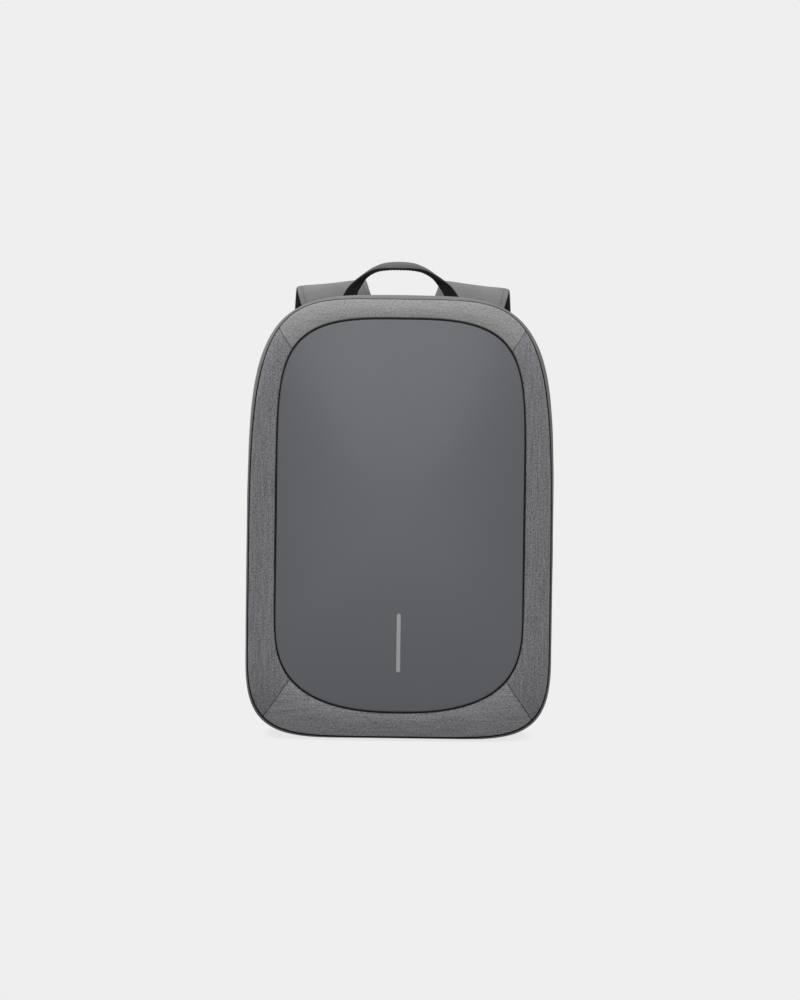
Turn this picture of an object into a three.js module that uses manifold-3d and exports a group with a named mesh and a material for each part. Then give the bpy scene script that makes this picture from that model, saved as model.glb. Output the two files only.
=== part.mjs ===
// Anti theft backpack: a hard-framed soft pack with a smooth domed front panel, a woven
// frame round it, a smooth side wall, a zip hidden at the back, a padded back, two padded
// shoulder straps with webbing, and a short carrying handle.
// Millimetres. +X is right as seen from the front, the front faces -Y and +Z is up.
// The origin is the middle of the flat base, on the floor.
import * as THREE from 'three';
import { mergeVertices } from 'three/addons/utils/BufferGeometryUtils.js';
import Module from 'manifold-3d';

const wasm = await Module();
wasm.setup();

// Driving dimensions of the body
const bodyWidth = 305.6;
const bodyHeight = 439.2;
const centreHeight = 218;       // the outlines are measured round this height
const basePress = 3.2;          // how far the round underside is pressed flat by its weight
const panelWidth = 243.8;
const panelDrop = 24;           // the front panel's top, below the body's top
const panelFoot = 28.9;
const panelCrown = 9;           // the front panel's dome
const seamInset = 3.6;          // the frame's outer seam, inside the widest outline
const seamDrop = 4.6;           // the same seam, below the top
const seamFoot = 2.2;           // the same seam, above the floor
const backInset = 14;           // the back edge, inside the widest outline

// Distances from the origin plane, forward or backward
const panelForward = 66;
const seamForward = 42;
const girthBack = 10;
const zipBack = 38;
const zipWidth = 10;
const rimBack = 58;

// Walls and clearances
const panelWall = 3;
const frameWall = 3;
const gussetWall = 2.5;
const zipWall = 1.6;
const rimWall = 2.5;
const gap = 0.3;
const pipingWidth = 1.8;

// Back panel and its raised pads
const backPanelThickness = 10;
const backPanelProud = 3;
const backPanelRound = 3;
const padRise = 6;
const padRound = 3;
const padCorner = 16;
const channelWidth = 36;        // the air channel down the middle
const crossChannel = 12;        // the air channels between the rows of pads
const padSlant = 14;
const padReach = 112;           // the pads' outer edge, from the middle
const padFoot = 70;
const padTop = 372;
const padRows = 3;

// Shoulder straps
const strapWidth = 71;
const strapOuterThickness = 3;
const strapMeshThickness = 6;
const strapFirstCentre = 50;    // the strap's middle where it is sewn on, from the middle
const strapLastCentre = 102;    // and at its lower end
const strapStandOff = 60;
const strapSteps = 26;

// Ladder locks, webbing and its anchors
const webbingWidth = 25;
const webbingThickness = 1.6;
const lockWall = 3.5;
const lockBar = 4;
const lockSlot = 6;
const lockThickness = 3;
const webbingTail = 62;
const anchorInset = 49;         // its middle, inside the body's side
const anchorHeight = 34;
const anchorLength = 30;
const anchorThickness = 2.4;
const anchorSpread = 6;         // how much wider the anchor is at the seam

// Carrying handle
const handleTop = 474.3;
const handleFootCentre = 53.2;
const handleBack = 50.8;
const handleWidth = 22;
const handleWebbingThickness = 2;
const handleGripThickness = 6;
const handleGripLeg = 1.4;      // the grip's cover where it runs down the legs
const handleLegShare = 0.7;     // the legs' width at the foot, of the whole width
const handleNotchShare = 1.2;   // the notch's width, of the leg's, which leans
const handleSink = 5;           // how far the feet run into the seam
const handleSteps = 30;

// Bar on the front panel and the zip's pull
const stripWidth = 4;
const stripThickness = 0.8;
const stripFoot = 69;
const stripLength = 58;
const sliderLength = 12;
const sliderWidth = 8;
const sliderThickness = 2.8;
const pullLength = 26;
const pullWidth = 6.5;
const pullThickness = 1.6;
const pullHeight = 108;         // where it hangs, above the floor

// The frame's mitred corners, in degrees round the centre, and steps round each stretch
const mitreTop = 57;
const mitreBottom = -56;
const sideSteps = 16;
const endSteps = 12;

const halfTurn = 180;
const degrees = Math.PI / halfTurn;
const mix = THREE.MathUtils.lerp;

// Outlines: rounded forms with their widest place at the waist. The powers set how square
// the corners are, above the waist and below it.
const roundBody = {
  above: { across: 3.82, along: 6.41 },
  below: { across: 5.34, along: 3.77 },
};
const outlines = {
  panel: {
    half: panelWidth / 2, waist: 0.305 * bodyHeight, top: bodyHeight - panelDrop, bottom: panelFoot,
    above: { across: 3.21, along: 9.05 },
    below: { across: 2.42, along: 3.38 },
  },
  seam: {
    half: bodyWidth / 2 - seamInset, waist: 0.218 * bodyHeight,
    top: bodyHeight - seamDrop, bottom: seamFoot,
    above: { across: 4.78, along: 5.12 },
    below: { across: 5.65, along: 3.43 },
  },
  girth: {
    half: bodyWidth / 2, waist: 0.218 * bodyHeight, top: bodyHeight, bottom: -basePress,
    ...roundBody,
  },
  back: {
    half: bodyWidth / 2 - backInset, waist: 0.218 * bodyHeight,
    top: bodyHeight - backInset, bottom: -basePress + backInset,
    ...roundBody,
  },
};

// The body's section from the front panel's edge to the back edge: each row is a place in
// depth, and how far the outline has turned from one named outline to the next
const section = [
  { name: 'panel', depth: -panelForward, from: 'panel', to: 'panel', turned: 0 },
  { name: 'brow', depth: mix(-panelForward, -seamForward, 0.23), from: 'panel', to: 'seam',
    turned: 0.5 },
  { name: 'seam', depth: -seamForward, from: 'seam', to: 'seam', turned: 0 },
  { name: 'flank', depth: mix(-seamForward, girthBack, 0.38), from: 'seam', to: 'girth',
    turned: 0.72 },
  { name: 'girth', depth: girthBack, from: 'girth', to: 'girth', turned: 0 },
  { name: 'zipFront', depth: zipBack, from: 'girth', to: 'back', turned: 0.17 },
  { name: 'zipBack', depth: zipBack + zipWidth, from: 'girth', to: 'back', turned: 0.45 },
  { name: 'rim', depth: rimBack, from: 'back', to: 'back', turned: 0 },
];
const place = Object.fromEntries(section.map((row, index) => [row.name, index]));

function fullness(outline, x, z) {
  const above = z > outline.waist;
  const power = above ? outline.above : outline.below;
  const rise = above ? outline.top - outline.waist : outline.waist - outline.bottom;
  const across = Math.abs(x / outline.half) ** power.across;
  return across + Math.abs((z - outline.waist) / rise) ** power.along;
}

// How far an outline lies from the centre, in a direction
function reach(name, angle) {
  const outline = outlines[name];
  let near = 0;
  let far = bodyHeight;
  for (let step = 0; step < 36; step += 1) {
    const middle = (near + far) / 2;
    const x = middle * Math.cos(angle);
    const z = centreHeight + middle * Math.sin(angle);
    if (fullness(outline, x, z) < 1) near = middle;
    else far = middle;
  }
  return near;
}

function onFloor(distance, angle) {
  const down = -Math.sin(angle);
  return down > 0 ? Math.min(distance, centreHeight / down) : distance;
}

// A point of the body's skin, by its place in the section and its direction
function skinPoint(at, angle) {
  const distances = {};
  for (const name of Object.keys(outlines)) distances[name] = reach(name, angle);
  const rows = section.map((row) => new THREE.Vector2(
    row.depth, mix(distances[row.from], distances[row.to], row.turned)));
  const spot = new THREE.SplineCurve(rows).getPoint(at / (section.length - 1));
  const distance = onFloor(spot.y, angle);
  return new THREE.Vector3(
    distance * Math.cos(angle), spot.x, centreHeight + distance * Math.sin(angle));
}

const nudge = 0.002;

function alongSection(at, angle) {
  const low = Math.max(at - nudge, 0);
  const high = Math.min(at + nudge, section.length - 1);
  return skinPoint(high, angle).sub(skinPoint(low, angle)).divideScalar(high - low);
}

function skinNormal(at, angle) {
  const around = skinPoint(at, angle + nudge).sub(skinPoint(at, angle - nudge));
  return around.cross(alongSection(at, angle)).negate().normalize();
}

// Moves a place in the section by a real distance along the skin
function moved(at, angle, distance) {
  return at + distance / alongSection(at, angle).length();
}

// Directions round the body, closer together where the outline bends
const crowding = 0.5;

function bendOf(angle) {
  const distance = reach('girth', angle);
  const z = centreHeight + distance * Math.sin(angle) - outlines.girth.waist;
  const above = z > 0;
  const power = above ? roundBody.above : roundBody.below;
  const rise = above
    ? outlines.girth.top - outlines.girth.waist
    : outlines.girth.waist - outlines.girth.bottom;
  const up = Math.abs(z / rise) ** (power.along / 2);
  const side = Math.abs(distance * Math.cos(angle) / outlines.girth.half) ** (power.across / 2);
  return Math.atan2(above ? up : -up, Math.cos(angle) < 0 ? -side : side);
}

function directions(from, to, steps) {
  const fine = 400;
  const bends = [];
  for (let index = 0; index <= fine; index += 1) {
    const angle = mix(from, to, index / fine) * degrees;
    let bend = bendOf(angle);
    while (index > 0 && bend < bends[index - 1].bend - 0.001) bend += 2 * Math.PI;
    bends.push({ angle, bend });
  }
  const list = [];
  for (let step = 0; step <= steps; step += 1) {
    const wanted = mix(bends[0].bend, bends[fine].bend, step / steps);
    const next = Math.max(1, bends.findIndex((entry) => entry.bend >= wanted - 1e-9));
    const high = bends[next];
    const low = bends[next - 1];
    const share = THREE.MathUtils.clamp((wanted - low.bend) / (high.bend - low.bend), 0, 1);
    const even = mix(from, to, step / steps) * degrees;
    list.push(mix(even, mix(low.angle, high.angle, share), crowding));
  }
  return list;
}

const stretches = {
  right: directions(mitreBottom, mitreTop, sideSteps),
  top: directions(mitreTop, halfTurn - mitreTop, endSteps),
  left: directions(halfTurn - mitreTop, halfTurn - mitreBottom, sideSteps),
  bottom: directions(halfTurn - mitreBottom, 2 * halfTurn + mitreBottom, endSteps),
};
const allRound = ['right', 'top', 'left', 'bottom']
  .flatMap((name) => stretches[name].slice(0, -1));

// Builds a closed mesh from points and triangles, with its faces pointing out
function solid(points, faces) {
  let volume = 0;
  for (const [a, b, c] of faces) {
    volume += points[a].dot(points[b].clone().cross(points[c]));
  }
  const outward = volume > 0 ? faces : faces.map(([a, b, c]) => [a, c, b]);
  const geometry = new THREE.BufferGeometry().setFromPoints(points);
  geometry.setIndex(outward.flat());
  geometry.computeVertexNormals();
  return geometry;
}

// Joins loops of points into a closed form: a ring, or a bar with both its ends covered.
// A loop runs out along one face and back along the other, so an end is covered in strips.
function sweep(loops, closed) {
  const count = loops[0].length;
  const points = loops.flat();
  const faces = [];
  const last = closed ? loops.length : loops.length - 1;
  for (let loop = 0; loop < last; loop += 1) {
    const here = loop * count;
    const there = ((loop + 1) % loops.length) * count;
    for (let index = 0; index < count; index += 1) {
      const next = (index + 1) % count;
      faces.push([here + index, there + index, there + next]);
      faces.push([here + index, there + next, here + next]);
    }
  }
  if (!closed) {
    const end = (loops.length - 1) * count;
    for (let index = 0; index < count / 2 - 1; index += 1) {
      const far = count - 1 - index;
      faces.push([index, index + 1, far], [index + 1, far - 1, far]);
      faces.push([end + index, end + far, end + index + 1]);
      faces.push([end + index + 1, end + far, end + far - 1]);
    }
  }
  return solid(points, faces);
}

// Joins rings of points into a closed form with a middle point at each end
function dome(firstMiddle, rings, lastMiddle) {
  const count = rings[0].length;
  const points = [firstMiddle, ...rings.flat(), lastMiddle];
  const end = points.length - 1;
  const faces = [];
  for (let index = 0; index < count; index += 1) {
    const next = (index + 1) % count;
    faces.push([0, 1 + index, 1 + next]);
    for (let ring = 0; ring < rings.length - 1; ring += 1) {
      const here = 1 + ring * count;
      const there = here + count;
      faces.push([here + index, there + index, there + next]);
      faces.push([here + index, there + next, here + next]);
    }
    const final = 1 + (rings.length - 1) * count;
    faces.push([end, final + next, final + index]);
  }
  return solid(points, faces);
}

// A wall of even thickness under the skin, between two places of the section
function wallOf(places, angles, wall, { closed = false, front = gap, back = gap } = {}) {
  const loops = angles.map((angle, station) => {
    const outer = [];
    const inner = [];
    places.forEach((at, row) => {
      let turn = 0;
      const half = gap / 2 / skinPoint(at, angle).distanceTo(
        new THREE.Vector3(0, skinPoint(at, angle).y, centreHeight));
      if (!closed && station === 0) turn = half;
      if (!closed && station === angles.length - 1) turn = -half;
      const direction = angle + turn;
      let here = at;
      if (row === 0) here = moved(at, direction, front / 2);
      if (row === places.length - 1) here = moved(at, direction, -back / 2);
      const point = skinPoint(here, direction);
      outer.push(point);
      inner.unshift(point.clone().addScaledVector(skinNormal(here, direction), -wall));
    });
    return [...outer, ...inner];
  });
  return sweep(loops, closed);
}

const groove = pipingWidth + 2 * gap;

function steps(from, to, count) {
  return Array.from({ length: count + 1 }, (_, index) => mix(from, to, index / count));
}

// A thin cord lying in the groove at a place of the section
function pipingAt(at) {
  const loops = allRound.map((angle) => {
    const out = skinNormal(at, angle);
    const along = alongSection(at, angle).normalize();
    const middle = skinPoint(at, angle).addScaledVector(out, -pipingWidth / 3);
    const round = pipingWidth / 2;
    return [
      middle.clone().addScaledVector(out, round),
      middle.clone().addScaledVector(along, round),
      middle.clone().addScaledVector(out, -round),
      middle.clone().addScaledVector(along, -round),
    ];
  });
  return sweep(loops, true);
}

// The front panel's dome, by its share of the way from the middle to the edge
const crownPower = 2.3;

function panelPoint(share, angle, inward) {
  const distance = share * (reach('panel', angle) - groove / 2);
  const y = -panelForward - panelCrown * (1 - share ** crownPower) + inward;
  return new THREE.Vector3(
    distance * Math.cos(angle), y, centreHeight + distance * Math.sin(angle));
}

function frontPanel() {
  const shares = [0.25, 0.45, 0.62, 0.77, 0.9, 1];
  const front = shares.map((share) => allRound.map((angle) => panelPoint(share, angle, 0)));
  const rear = shares.map((share) => allRound.map(
    (angle) => panelPoint(share, angle, panelWall)));
  const middle = panelPoint(0, 0, 0);
  return dome(middle, [...front, ...rear.reverse()], panelPoint(0, 0, panelWall));
}

// The depth of the front panel's face at a height on the middle line
function panelFace(height) {
  const angle = height < centreHeight ? -90 * degrees : 90 * degrees;
  const whole = reach('panel', angle) - groove / 2;
  const share = Math.abs(height - centreHeight) / whole;
  return -panelForward - panelCrown * (1 - share ** crownPower);
}

// A flat bar on the panel, following its dome
function reflectiveStrip() {
  const loops = steps(stripFoot, stripFoot + stripLength, 8).map((height, index, all) => {
    const ends = Math.min(height - stripFoot, stripFoot + stripLength - height);
    const half = index === 0 || index === all.length - 1
      ? stripWidth / 4
      : Math.min(stripWidth / 2, stripWidth / 4 + ends);
    const face = panelFace(height) - gap;
    return [
      new THREE.Vector3(-half, face, height),
      new THREE.Vector3(-half, face - stripThickness, height),
      new THREE.Vector3(half, face - stripThickness, height),
      new THREE.Vector3(half, face, height),
    ];
  });
  return sweep(loops, false);
}

// Conversion to and from the library that joins and cuts
function toManifold(geometry) {
  const bare = geometry.clone();
  bare.deleteAttribute('normal');
  bare.deleteAttribute('uv');
  const merged = mergeVertices(bare, 1e-4);
  return new wasm.Manifold(new wasm.Mesh({
    numProp: 3,
    vertProperties: new Float32Array(merged.attributes.position.array),
    triVerts: new Uint32Array(merged.index.array),
  }));
}

function fromManifold(body) {
  const mesh = body.getMesh();
  const geometry = new THREE.BufferGeometry();
  geometry.setAttribute('position', new THREE.BufferAttribute(mesh.vertProperties, 3));
  geometry.setIndex(new THREE.BufferAttribute(mesh.triVerts, 1));
  geometry.computeVertexNormals();
  return geometry;
}

// A closed shape with its corners rounded off
function roundedShape(corners, radius) {
  const shape = new THREE.Shape();
  corners.forEach((corner, index) => {
    const before = corners[(index + corners.length - 1) % corners.length];
    const after = corners[(index + 1) % corners.length];
    const start = corner.clone().add(before.clone().sub(corner).setLength(radius));
    const end = corner.clone().add(after.clone().sub(corner).setLength(radius));
    if (index === 0) shape.moveTo(start.x, start.y);
    else shape.lineTo(start.x, start.y);
    shape.quadraticCurveTo(corner.x, corner.y, end.x, end.y);
  });
  shape.closePath();
  return shape;
}

// Stands a shape drawn in X and Z up, with its thickness running back from a depth
function standing(shape, depth, thickness, round) {
  const geometry = new THREE.ExtrudeGeometry(shape, {
    depth: thickness - 2 * round, bevelEnabled: round > 0, bevelThickness: round,
    bevelSize: round, bevelOffset: -round, bevelSegments: 2, curveSegments: 4, steps: 1,
  });
  geometry.translate(0, 0, round);
  geometry.rotateX(90 * degrees);
  geometry.translate(0, depth + thickness, 0);
  return geometry;
}

const backFace = rimBack + backPanelProud;
const backPanelInset = rimWall + gap;

function backPanel() {
  const outline = allRound.map((angle) => {
    const edge = skinPoint(place.rim, angle);
    const out = skinNormal(place.rim, angle).setY(0).setLength(backPanelInset);
    return new THREE.Vector2(edge.x - out.x, edge.z - out.z);
  });
  let body = toManifold(standing(
    new THREE.Shape(outline), backFace - backPanelThickness, backPanelThickness,
    backPanelRound));
  const rowHeight = (padTop - padFoot - padSlant - (padRows - 1) * crossChannel) / padRows;
  const sunk = padRound + 1;
  for (const side of [-1, 1]) {
    for (let row = 0; row < padRows; row += 1) {
      const low = padFoot + row * (rowHeight + crossChannel);
      const high = low + rowHeight;
      const inside = side * channelWidth / 2;
      const outside = side * padReach;
      const corners = [
        new THREE.Vector2(inside, low), new THREE.Vector2(outside, low + padSlant),
        new THREE.Vector2(outside, high + padSlant), new THREE.Vector2(inside, high),
      ];
      if (side < 0) corners.reverse();
      const pad = standing(
        roundedShape(corners, padCorner), backFace - sunk, padRise + sunk, padRound);
      body = body.add(toManifold(pad));
    }
  }
  return fromManifold(body);
}

// The shoulder strap's course, from where it is sewn to the back, up and outward over its
// crest and down to its lower end. Shares of the body's height, of how far it stands off, of
// the way from its first centre line to its last, and of its width; and the slope of its
// width, down towards the outside.
const strapCourse = [
  { height: 0.877, out: 0, across: 0, width: 1, lean: 0.36 },
  { height: 0.934, out: 0, across: 0.17, width: 1, lean: 0.36 },
  { height: 0.984, out: 0.06, across: 0.33, width: 1, lean: 0.32 },
  { height: 1.017, out: 0.22, across: 0.42, width: 1, lean: 0.2 },
  { height: 1.025, out: 0.45, across: 0.45, width: 1, lean: 0.115 },
  { height: 1.012, out: 0.68, across: 0.49, width: 0.98, lean: 0.04 },
  { height: 0.976, out: 0.86, across: 0.53, width: 0.96, lean: -0.04 },
  { height: 0.906, out: 0.96, across: 0.58, width: 0.93, lean: -0.1 },
  { height: 0.804, out: 1, across: 0.64, width: 0.9, lean: -0.1 },
  { height: 0.683, out: 1, across: 0.71, width: 0.86, lean: -0.1 },
  { height: 0.558, out: 0.95, across: 0.8, width: 0.78, lean: -0.12 },
  { height: 0.452, out: 0.85, across: 0.9, width: 0.66, lean: -0.14 },
  { height: 0.372, out: 0.72, across: 1, width: 0.52, lean: -0.16 },
];
const strapStart = backFace + gap + strapOuterThickness;

function blend(rows, share, column) {
  const spot = share * (rows.length - 1);
  const low = Math.min(Math.floor(spot), rows.length - 2);
  return mix(rows[low][column], rows[low + 1][column], spot - low);
}

// A frame on a course: its point, its direction, its width's direction and its outward one
function frameOn(point, tangent, widthways) {
  const along = tangent.clone().normalize();
  const across = widthways.clone().addScaledVector(along, -widthways.dot(along)).normalize();
  return { point, along, across, out: across.clone().cross(along).normalize() };
}

const strapCurve = new THREE.CatmullRomCurve3(strapCourse.map((row) => new THREE.Vector3(
  mix(strapFirstCentre, strapLastCentre, row.across),
  strapStart + row.out * strapStandOff,
  row.height * bodyHeight,
)), false, 'centripetal');

function strapFrame(share) {
  const widthways = new THREE.Vector3(1, 0, -blend(strapCourse, share, 'lean'));
  const frame = frameOn(strapCurve.getPoint(share), strapCurve.getTangent(share), widthways);
  frame.half = blend(strapCourse, share, 'width') * strapWidth / 2;
  return frame;
}

function at(frame, sideways, outward, onward = 0) {
  return frame.point.clone().addScaledVector(frame.across, sideways)
    .addScaledVector(frame.out, outward).addScaledVector(frame.along, onward);
}

// One layer of a strap between two distances from the strap's middle surface, with its far
// edges rounded off
function strapLayer(near, far) {
  const round = 0.45 * Math.abs(far - near);
  const shoulder = far - Math.sign(far - near) * round;
  const loops = steps(0, 1, strapSteps).map((share) => {
    const frame = strapFrame(share);
    const { half } = frame;
    return [
      at(frame, -half, near), at(frame, -half, shoulder), at(frame, -half + round, far),
      at(frame, half - round, far), at(frame, half, shoulder), at(frame, half, near),
    ];
  });
  return sweep(loops, false);
}

const strapEnd = strapFrame(1);
const lockWidth = webbingWidth + 2 * gap + 2 * lockWall;
const lockLength = 3 * lockBar + 2 * lockSlot;
const lockOut = (strapOuterThickness - strapMeshThickness) / 2;

// A flat buckle with two slots: the strap's end is sewn to its upper bar
function ladderLock() {
  const half = lockWidth / 2;
  const plate = roundedShape([
    new THREE.Vector2(-half, 0), new THREE.Vector2(half, 0),
    new THREE.Vector2(half, lockLength), new THREE.Vector2(-half, lockLength),
  ], lockWall / 2);
  const opening = webbingWidth / 2 + gap;
  for (const start of [lockBar, 2 * lockBar + lockSlot]) {
    const hole = new THREE.Path();
    hole.moveTo(-opening, start);
    hole.lineTo(-opening, start + lockSlot);
    hole.lineTo(opening, start + lockSlot);
    hole.lineTo(opening, start);
    hole.closePath();
    plate.holes.push(hole);
  }
  const geometry = new THREE.ExtrudeGeometry(plate, {
    depth: lockThickness, bevelEnabled: false, curveSegments: 3,
  });
  geometry.translate(0, gap, -lockThickness / 2);
  const basis = new THREE.Matrix4().makeBasis(strapEnd.across, strapEnd.along, strapEnd.out);
  basis.setPosition(at(strapEnd, 0, lockOut));
  geometry.applyMatrix4(basis);
  // The basis is left-handed, so the faces are turned back to point out
  return turned(geometry);
}

function turned(geometry) {
  const flat = geometry.index ? geometry.toNonIndexed() : geometry;
  const positions = flat.attributes.position;
  const points = [];
  for (let index = 0; index < positions.count; index += 1) {
    points.push(new THREE.Vector3().fromBufferAttribute(positions, index));
  }
  const faces = [];
  for (let index = 0; index < points.length; index += 3) {
    faces.push([index, index + 1, index + 2]);
  }
  return solid(points, faces);
}

// The anchor's face lies on the back panel, and the webbing is sewn onto it
const anchorBack = backFace + gap + anchorThickness;
const anchorFoot = new THREE.Vector3(bodyWidth / 2 - anchorInset, anchorBack, anchorHeight);

function towardsLock() {
  const flat = at(strapEnd, 0, 0).sub(anchorFoot);
  flat.y = 0;
  return flat.normalize();
}

const anchorAlong = towardsLock();
const anchorAcross = new THREE.Vector3(anchorAlong.z, 0, -anchorAlong.x);

function strapAnchor() {
  const loops = [0, 1].map((end) => {
    const half = webbingWidth / 2 + 1 + (1 - end) * anchorSpread;
    const middle = anchorFoot.clone().addScaledVector(anchorAlong, (end - 0.25) * anchorLength);
    const rear = new THREE.Vector3(0, -anchorThickness, 0);
    const left = middle.clone().addScaledVector(anchorAcross, -half);
    const right = middle.clone().addScaledVector(anchorAcross, half);
    return [left, left.clone().add(rear), right.clone().add(rear), right];
  });
  return sweep(loops, false);
}

// The webbing's course: flat on its anchor, up to the lock, out through the upper slot,
// over the middle bar, in through the lower slot, and down behind the lower bar to its tail
function strapWebbing() {
  const lie = lockThickness / 2 + webbingThickness / 2 + gap;
  const upper = gap + lockBar + lockSlot / 2;
  const lower = upper + lockBar + lockSlot;
  const foot = lower + lockSlot / 2 + lockBar;
  const inner = lockOut - lie - webbingThickness - 3 * gap;
  const local = [
    { onward: foot + 22, out: inner - 3 },
    { onward: foot, out: inner },
    { onward: lower, out: inner },
    { onward: upper - 0.5, out: lockOut - lie + 0.6 },
    { onward: upper + 0.1, out: lockOut + lie - 0.7 },
    { onward: upper + lockSlot / 2 + 1, out: lockOut + lie },
    { onward: lower - lockSlot / 2 - 1, out: lockOut + lie },
    { onward: lower - 0.1, out: lockOut + lie - 0.7 },
    { onward: lower + 0.9, out: lockOut - lie + 0.9 },
    { onward: foot - 1, out: lockOut - lie },
    { onward: foot + webbingTail / 3, out: lockOut - lie - 0.2 },
    { onward: foot + webbingTail, out: lockOut - lie + 4 },
  ];
  const onPanel = anchorBack + gap + webbingThickness / 2;
  const leaving = [{ share: 0, lift: 0 }, { share: 0.3, lift: 0 }, { share: 0.6, lift: 0.1 },
    { share: 0.9, lift: 0.6 }, { share: 1.3, lift: 2 }];
  const foundation = leaving.map(({ share, lift }) => {
    const spot = anchorFoot.clone().addScaledVector(anchorAlong, share * anchorLength);
    spot.y = onPanel + lift * webbingThickness;
    return spot;
  });
  const course = [...foundation, ...local.map((row) => at(strapEnd, 0, row.out, row.onward))];
  const leavingShare = foundation.length / (course.length - 1);
  const curve = new THREE.CatmullRomCurve3(course, false, 'centripetal');
  const loops = steps(0, 1, 2 * (course.length - 1)).map((share) => {
    const twist = Math.min(1, share / leavingShare);
    const widthways = anchorAcross.clone().lerp(strapEnd.across, twist);
    const frame = frameOn(curve.getPoint(share), curve.getTangent(share), widthways);
    const half = webbingWidth / 2;
    const thick = webbingThickness / 2;
    return [at(frame, -half, -thick), at(frame, -half, thick), at(frame, half, thick),
      at(frame, half, -thick)];
  });
  return sweep(loops, false);
}

// The carrying handle's course from its foot to its top: shares of the foot's distance from
// the middle and of the handle's height over the body; its quarter turn, from edge on at the
// foot to flat at the top; and shares of its width and of the grip's thickness
const handleCourse = [
  { side: 1, rise: -0.03, turn: 1, width: handleLegShare, grip: 0 },
  { side: 0.983, rise: 0.105, turn: 1, width: 0.66, grip: 0 },
  { side: 0.908, rise: 0.355, turn: 1, width: 0.52, grip: 0 },
  { side: 0.836, rise: 0.5, turn: 0.83, width: 0.43, grip: 0 },
  { side: 0.669, rise: 0.76, turn: 0.25, width: 0.36, grip: 0.05 },
  { side: 0.468, rise: 0.928, turn: 0.06, width: 0.6, grip: 0.35 },
  { side: 0.269, rise: 0.986, turn: 0.01, width: 0.9, grip: 0.83 },
  { side: 0, rise: 1, turn: 0, width: 1, grip: 1 },
];
const handleRows = [
  ...handleCourse.map((row) => ({ ...row, side: -row.side })),
  ...handleCourse.slice(0, -1).reverse(),
];
const handleFoot = bodyHeight - backInset * 0.5;
const handleCurve = new THREE.CatmullRomCurve3(handleRows.map((row) => new THREE.Vector3(
  row.side * handleFootCentre,
  handleBack,
  mix(handleFoot, handleTop - handleGripThickness, row.rise),
)), false, 'centripetal');

function handleFrame(share) {
  const along = handleCurve.getTangent(share).normalize();
  const away = new THREE.Vector3(-along.z, 0, along.x);
  const turn = blend(handleRows, share, 'turn') * 90 * degrees;
  const out = away.multiplyScalar(Math.cos(turn)).add(
    new THREE.Vector3(0, Math.sin(turn), 0));
  return {
    point: handleCurve.getPoint(share), along, out, across: out.clone().cross(along),
    half: blend(handleRows, share, 'width') * handleWidth / 2,
    grip: mix(handleGripLeg, handleGripThickness, blend(handleRows, share, 'grip')),
  };
}

function handleLayer(near, farOf) {
  const loops = steps(0, 1, handleSteps).map((share) => {
    const frame = handleFrame(share);
    const { half } = frame;
    const far = farOf(frame);
    const round = 0.4 * Math.abs(far - near);
    const shoulder = far - Math.sign(far - near) * round;
    return [
      at(frame, -half, near), at(frame, -half, shoulder), at(frame, -half + round, far),
      at(frame, half - round, far), at(frame, half, shoulder), at(frame, half, near),
    ];
  });
  return sweep(loops, false);
}

// The back rim, with a notch in its front edge for each foot of the handle
function backRim() {
  let body = toManifold(wallOf(
    steps(place.zipBack, place.rim, 3), allRound, rimWall, { closed: true, back: 0 }));
  for (const side of [-1, 1]) {
    const width = handleNotchShare * handleLegShare * handleWidth + 2 * gap;
    const deep = handleWebbingThickness + handleGripLeg + 2 * gap;
    const notch = new THREE.BoxGeometry(width, deep, 4 * handleSink);
    const middle = handleBack + (handleGripLeg - handleWebbingThickness) / 2;
    notch.translate(side * handleFootCentre, middle, handleFoot);
    body = body.subtract(toManifold(notch));
  }
  return fromManifold(body);
}

// The zip's pull, lying along the zip near its lower end
function zipPull() {
  const middle = (place.zipFront + place.zipBack) / 2;
  const heightOff = (angle) => Math.abs(skinPoint(middle, angle).z - pullHeight);
  const angle = stretches.right.reduce(
    (best, other) => (heightOff(other) < heightOff(best) ? other : best));
  const out = skinNormal(middle, angle);
  const along = skinPoint(middle, angle - nudge).sub(skinPoint(middle, angle)).normalize();
  const across = along.clone().cross(out).normalize();
  const slider = new THREE.BoxGeometry(sliderWidth, sliderLength, sliderThickness);
  slider.translate(0, 0, sliderThickness / 2);
  const tab = new THREE.ExtrudeGeometry(roundedShape([
    new THREE.Vector2(-pullWidth / 2, -pullLength), new THREE.Vector2(pullWidth / 2, -pullLength),
    new THREE.Vector2(pullWidth / 2, sliderLength / 3),
    new THREE.Vector2(-pullWidth / 2, sliderLength / 3),
  ], pullWidth / 3), { depth: pullThickness, bevelEnabled: false, curveSegments: 3 });
  tab.translate(0, 0, sliderThickness - pullThickness / 2);
  const geometry = fromManifold(toManifold(slider).add(toManifold(tab)));
  const basis = new THREE.Matrix4().makeBasis(across, along, out);
  basis.setPosition(skinPoint(middle, angle).addScaledVector(out, gap));
  geometry.applyMatrix4(basis);
  return turned(geometry);
}

function mirrored(geometry) {
  const copy = geometry.clone().applyMatrix4(new THREE.Matrix4().makeScale(-1, 1, 1));
  return turned(copy);
}

// Colours and finishes
const finishes = {
  coatedPanel: { color: 0x6a6c70, roughness: 0.55 },
  wovenFabric: { color: 0x737377, roughness: 0.95 },
  smoothFabric: { color: 0x7c7d7c, roughness: 0.8 },
  piping: { color: 0x1d1d1e, roughness: 0.7 },
  zipTape: { color: 0x222223, roughness: 0.85 },
  meshFabric: { color: 0x1f2021, roughness: 0.95 },
  webbing: { color: 0x1b1b1a, roughness: 0.85 },
  plastic: { color: 0x232324, roughness: 0.45 },
  reflective: { color: 0xa9abad, roughness: 0.35 },
};

const backpack = new THREE.Group();

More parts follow.
